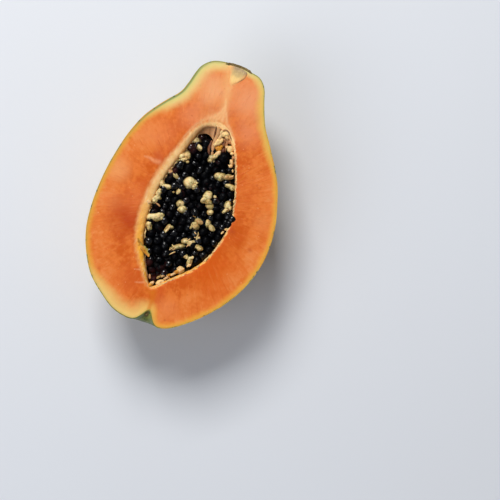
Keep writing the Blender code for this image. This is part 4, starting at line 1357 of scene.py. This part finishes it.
def build_fringe(material):
    """Torn threads of lining along the rim of the steep wall and the foot of the sloping one."""
    sizes = bpy.context.scene.papaya_sizes
    rng = draws(8)
    strands = []
    while len(strands) < sizes.threads:
        angle = rng.uniform(-math.pi, math.pi)
        gap = polar_radius(CAVITY_RIM, angle) - polar_radius(CAVITY_FOOT, angle)
        span = rng.uniform(0.03, 0.16) * rng.choice([-1, 1])
        share, *limits = FRINGE_STEEP if gap < STEEP_GAP else FRINGE_SLOPING
        offset, height, thick, tone = (rng.uniform(low, high) for low, high in limits)
        strands.append((tone, along_rim(rng, angle, span, offset, height, thick, share)))
    return grow_strands(
        "papaya_fringe", strands, sides=6, wave_size=1.6 * MM, wave_depth=1.1 * MM, random_seed=6,
        material=material,
    )


def build_strands(material):
    """The ridge and the strands that held the seeds at the stem end, and the fibres in the heap."""
    rng = draws(7)
    strands = list(STRANDS)
    for middle, spread in FIBRE_CLUSTERS:
        for _ in range(5):
            start = np.array(middle) + rng.uniform(-0.5, 0.5, 2) * spread
            end = start + rng.uniform(-1, 1, 2) * 3.0
            strands.append((rng.uniform(0.6, 1.0), [
                (*start, -2.6, 0.8), (*((start + end) / 2), -1.6 - rng.random(), 1.0), (*end, -2.8, 0.4),
            ]))
    return grow_strands(
        "papaya_strands", strands, sides=10, wave_size=3.0 * MM, wave_depth=1.0 * MM, random_seed=4,
        material=material,
    )


def sheet(name, middle, thickness, values):
    """A thin closed sheet from a grid of points (s, r, height), with values over its points."""
    layers = [place(middle[..., 0], middle[..., 1], middle[..., 2] - down) for down in (0.0, thickness)]
    doubled = {
        key: np.tile(np.broadcast_to(value, middle.shape[:2]).ravel(), 2) for key, value in values.items()
    }
    return shell(name, layers, (*SIDES, 0, -1), doubled)


def build_flap():
    """The golden flap that peels off the lining and curls over the seeds."""
    steps, columns = 34, 10
    line = even(rounded(FLAP_PATH), steps)
    side = np.gradient(line, axis=0)
    side = np.column_stack([-side[:, 1], side[:, 0]]) / np.hypot(*side.T)[:, None]
    side *= np.sign(side[0] @ (CAVITY_MIDDLE - line[0]))
    step = np.linspace(0, 1, steps)
    ragged = 1 + 0.16 * np.sin(13 * step) + 0.12 * np.sin(29 * step)
    width = FLAP_WIDTH * np.sin(math.pi * step**1.6) ** 0.5 * ragged + 0.05
    share = np.linspace(-0.3, 1.0, columns)
    middle = line[:, None] + side[:, None] * (share * width[:, None])[..., None]
    height = -0.5 - 1.1 * step[:, None] - 0.7 * np.abs(share) + 0.9 * np.clip(share, 0, 1) ** 3
    height = height + 0.2 * np.sin(14 * step)[:, None]
    return sheet("papaya_lining_flap", np.dstack([middle, height]), FLAP_THICKNESS, {"edge": share})


def build_hood():
    """The thin membrane that hangs from the lining over the first seeds, with darker lines in it."""
    rows, columns = 40, 14
    top, foot = even(rounded(HOOD_TOP), rows)[:, None], even(rounded(HOOD_FOOT), rows)[:, None]
    down = np.linspace(0, 1, columns)[:, None]
    middle = top * (1 - down) + foot * down
    step = np.linspace(0, 1, rows)[:, None]
    height = -1.1 - 3.9 * down[:, 0] ** 0.75 + 0.25 * np.sin(16 * step) * down[:, 0]
    line = np.exp(-(((step - 0.62) / 0.035) ** 2)) + 0.8 * np.exp(-(((step - 0.97) / 0.04) ** 2))
    tone = 0.37 + 0.18 * smooth_step((step - 0.6) / 0.3) - 0.16 * line
    tone = tone + 0.25 * smooth_step((0.25 - down[:, 0]) / 0.25)
    return sheet("papaya_hood", np.dstack([middle, height]), HOOD_THICKNESS, {"tone": tone})


def build_bed():
    """The dark pulp under the seeds."""
    rings, turns = 12, 72
    angle = np.linspace(-math.pi, math.pi, turns, endpoint=False)
    foot = polar_radius(CAVITY_FOOT, angle) + 0.1
    along, across = about_middle(np.linspace(1.0, 0.0, rings)[:, None] * foot, angle)
    top, low = (place(along, across, heap_height(along) - depth) for depth in BED_DEPTHS)
    points = np.vstack([low[::-1].reshape(-1, 3), top.reshape(-1, 3)])
    return mesh_piece("papaya_pulp", points, grid_faces(2 * rings, turns, closed=True))


# Stage

PICTURE_TURN = 20.3
PICTURE_CENTRE = (97.6, 42.74)
PICTURE_WIDTH = 290.3
LENS = 100.0
SENSOR = 36.0
# Soft lights by name: (right, up, height), side and power, then the colour, in metres and watts
LIGHTS = {
    "key": ((-0.32, 1.14, 1.3), 0.72, 27.0, (1.0, 0.985, 0.955)),
    "fill": ((-1.15, -0.55, 1.3), 1.3, 9.9, (0.93, 0.955, 1.0)),
}
LIGHT_TARGET = (88.0, 0.0)
ROOM_COLOUR = (0.88, 0.92, 1.0, 1.0)
ROOM_LIGHT = 0.2
ROOM_SEEN = 0.6


def picture_offset(right, up, height):
    """A place in metres right of and above the picture's centre, as seen by the camera."""
    turn = math.radians(PICTURE_TURN)
    middle = place(*PICTURE_CENTRE, 0.0)
    return (
        middle[0] + right * math.cos(turn) - up * math.sin(turn),
        middle[1] + right * math.sin(turn) + up * math.cos(turn), height,
    )


def soft_light(name, at, size, watts, tone):
    """A square soft light that faces the half."""
    data = bpy.data.lights.new(name, "AREA")
    data.size, data.energy, data.color = size, watts, tone
    made = in_scene(name, data)
    made.location = picture_offset(*at)
    target = Vector(place(*LIGHT_TARGET, 0.0))
    made.rotation_euler = (target - made.location).to_track_quat("-Z", "Y").to_euler()


def build_stage():
    """A pale floor, one large soft light from the picture's upper left, and the camera above."""
    scene = bpy.context.scene
    bpy.ops.mesh.primitive_plane_add(size=12.0)
    floor = bpy.context.object
    floor.name = "floor"
    made, spot = new_material("floor", Specular_IOR_Level=0.2, Roughness=0.7)
    base = glaze(tint("floor"), (noise(spot, 160.0, 2.0), srgb(222, 225, 231)))
    floor.data.materials.append(wire(made, base))

    for name, values in LIGHTS.items():
        soft_light(name, *values)
    world = bpy.data.worlds.new("studio")
    world.use_nodes = True
    background = world.node_tree.nodes["Background"]
    background.inputs["Color"].default_value = ROOM_COLOUR
    seen = add("ShaderNodeLightPath", None, "Is Camera Ray", world.node_tree)
    strength = seen * ROOM_SEEN + ROOM_LIGHT
    world.node_tree.links.new(strength.socket, background.inputs["Strength"])
    scene.world = world
    scene.view_settings.view_transform = "Standard"

    lens = bpy.data.cameras.new("camera")
    lens.lens, lens.sensor_width = LENS, SENSOR
    camera = in_scene("camera", lens)
    above = FACE_Z * MM + PICTURE_WIDTH * MM * LENS / SENSOR
    camera.location = picture_offset(0.0, 0.0, above)
    camera.rotation_euler = (0.0, 0.0, math.radians(PICTURE_TURN))
    scene.camera = camera


# Operators


class GrowFlesh(bpy.types.Operator):
    """Grow the flesh with its cut face and the lined cavity."""

    bl_idname = "papaya.grow_flesh"
    bl_label = "Flesh"

    def execute(self, context):
        dress(build_flesh(), flesh_material(), "fruit_half")
        return {"FINISHED"}


class GrowSkin(bpy.types.Operator):
    """Grow the thin speckled skin round the flesh."""

    bl_idname = "papaya.grow_skin"
    bl_label = "Skin"

    def execute(self, context):
        dress(build_skin(), skin_material(), "fruit_half")
        return {"FINISHED"}


class GrowEnds(bpy.types.Operator):
    """Grow the scar and the cut plug at the stem end and the nub at the blossom end."""

    bl_idname = "papaya.grow_ends"
    bl_label = "Stem scar and blossom nub"

    def execute(self, context):
        cork, scar = scar_material(), build_scar()
        dress(build_plug(), plug_material(), "fruit_half")
        for piece in (scar, build_nub(), build_torn("papaya_scar_bits", cork)):
            dress(piece, cork, "fruit_half")
        return {"FINISHED"}


class GrowStrands(bpy.types.Operator):
    """Grow the strands that held the seeds and the torn tufts and threads of the lining."""

    bl_idname = "papaya.grow_strands"
    bl_label = "Strands, tufts and threads"

    def execute(self, context):
        pale, golden = fibre_material(), flap_material()
        for piece in (build_strands(pale), build_torn("papaya_tufts", pale), build_fringe(pale), build_hood()):
            dress(piece, pale, "fruit_half")
        for piece in (build_flap(), build_torn("papaya_golden_pulp", golden)):
            dress(piece, golden, "fruit_half")
        return {"FINISHED"}


class GrowSeeds(bpy.types.Operator):
    """Fill the cavity with black and pale seeds over dark pulp."""

    bl_idname = "papaya.grow_seeds"
    bl_label = "Seeds"

    def execute(self, context):
        dress(build_bed(), bed_material(), "seed_mass")
        black, pale = seed_material(), pale_material()
        dress(build_black_seeds(black), black, "seed_mass")
        dress(build_pale_seeds(pale), pale, "seed_mass")
        return {"FINISHED"}


class SetStage(bpy.types.Operator):
    """Set the pale floor, the soft light and the camera."""

    bl_idname = "papaya.set_stage"
    bl_label = "Stage"

    def execute(self, context):
        build_stage()
        return {"FINISHED"}


class PapayaPanel(bpy.types.Panel):
    """The half's sizes, colours and pieces in the sidebar."""

    bl_idname = "VIEW3D_PT_papaya"
    bl_label = "Papaya half"
    bl_space_type = "VIEW_3D"
    bl_region_type = "UI"
    bl_category = "Papaya"

    def draw(self, context):
        for holder in (context.scene.papaya_sizes, context.scene.papaya_colours):
            for key in type(holder).__annotations__:
                self.layout.prop(holder, key)
        for operator in OPERATORS:
            self.layout.operator(operator.bl_idname)


OPERATORS = (GrowFlesh, GrowSkin, GrowEnds, GrowStrands, GrowSeeds, SetStage)
CLASSES = (PapayaSizes, PapayaColours, *OPERATORS, PapayaPanel)


def register():
    for item in CLASSES:
        bpy.utils.register_class(item)
    bpy.types.Scene.papaya_sizes = bpy.props.PointerProperty(type=PapayaSizes)
    bpy.types.Scene.papaya_colours = bpy.props.PointerProperty(type=PapayaColours)


def unregister():
    del bpy.types.Scene.papaya_sizes
    del bpy.types.Scene.papaya_colours
    for item in reversed(CLASSES):
        bpy.utils.unregister_class(item)


def main():
    """Grows every piece in order."""
    register()
    for operator in OPERATORS:
        family, _, name = operator.bl_idname.partition(".")
        getattr(getattr(bpy.ops, family), name)()


if __name__ == "__main__":
    main()
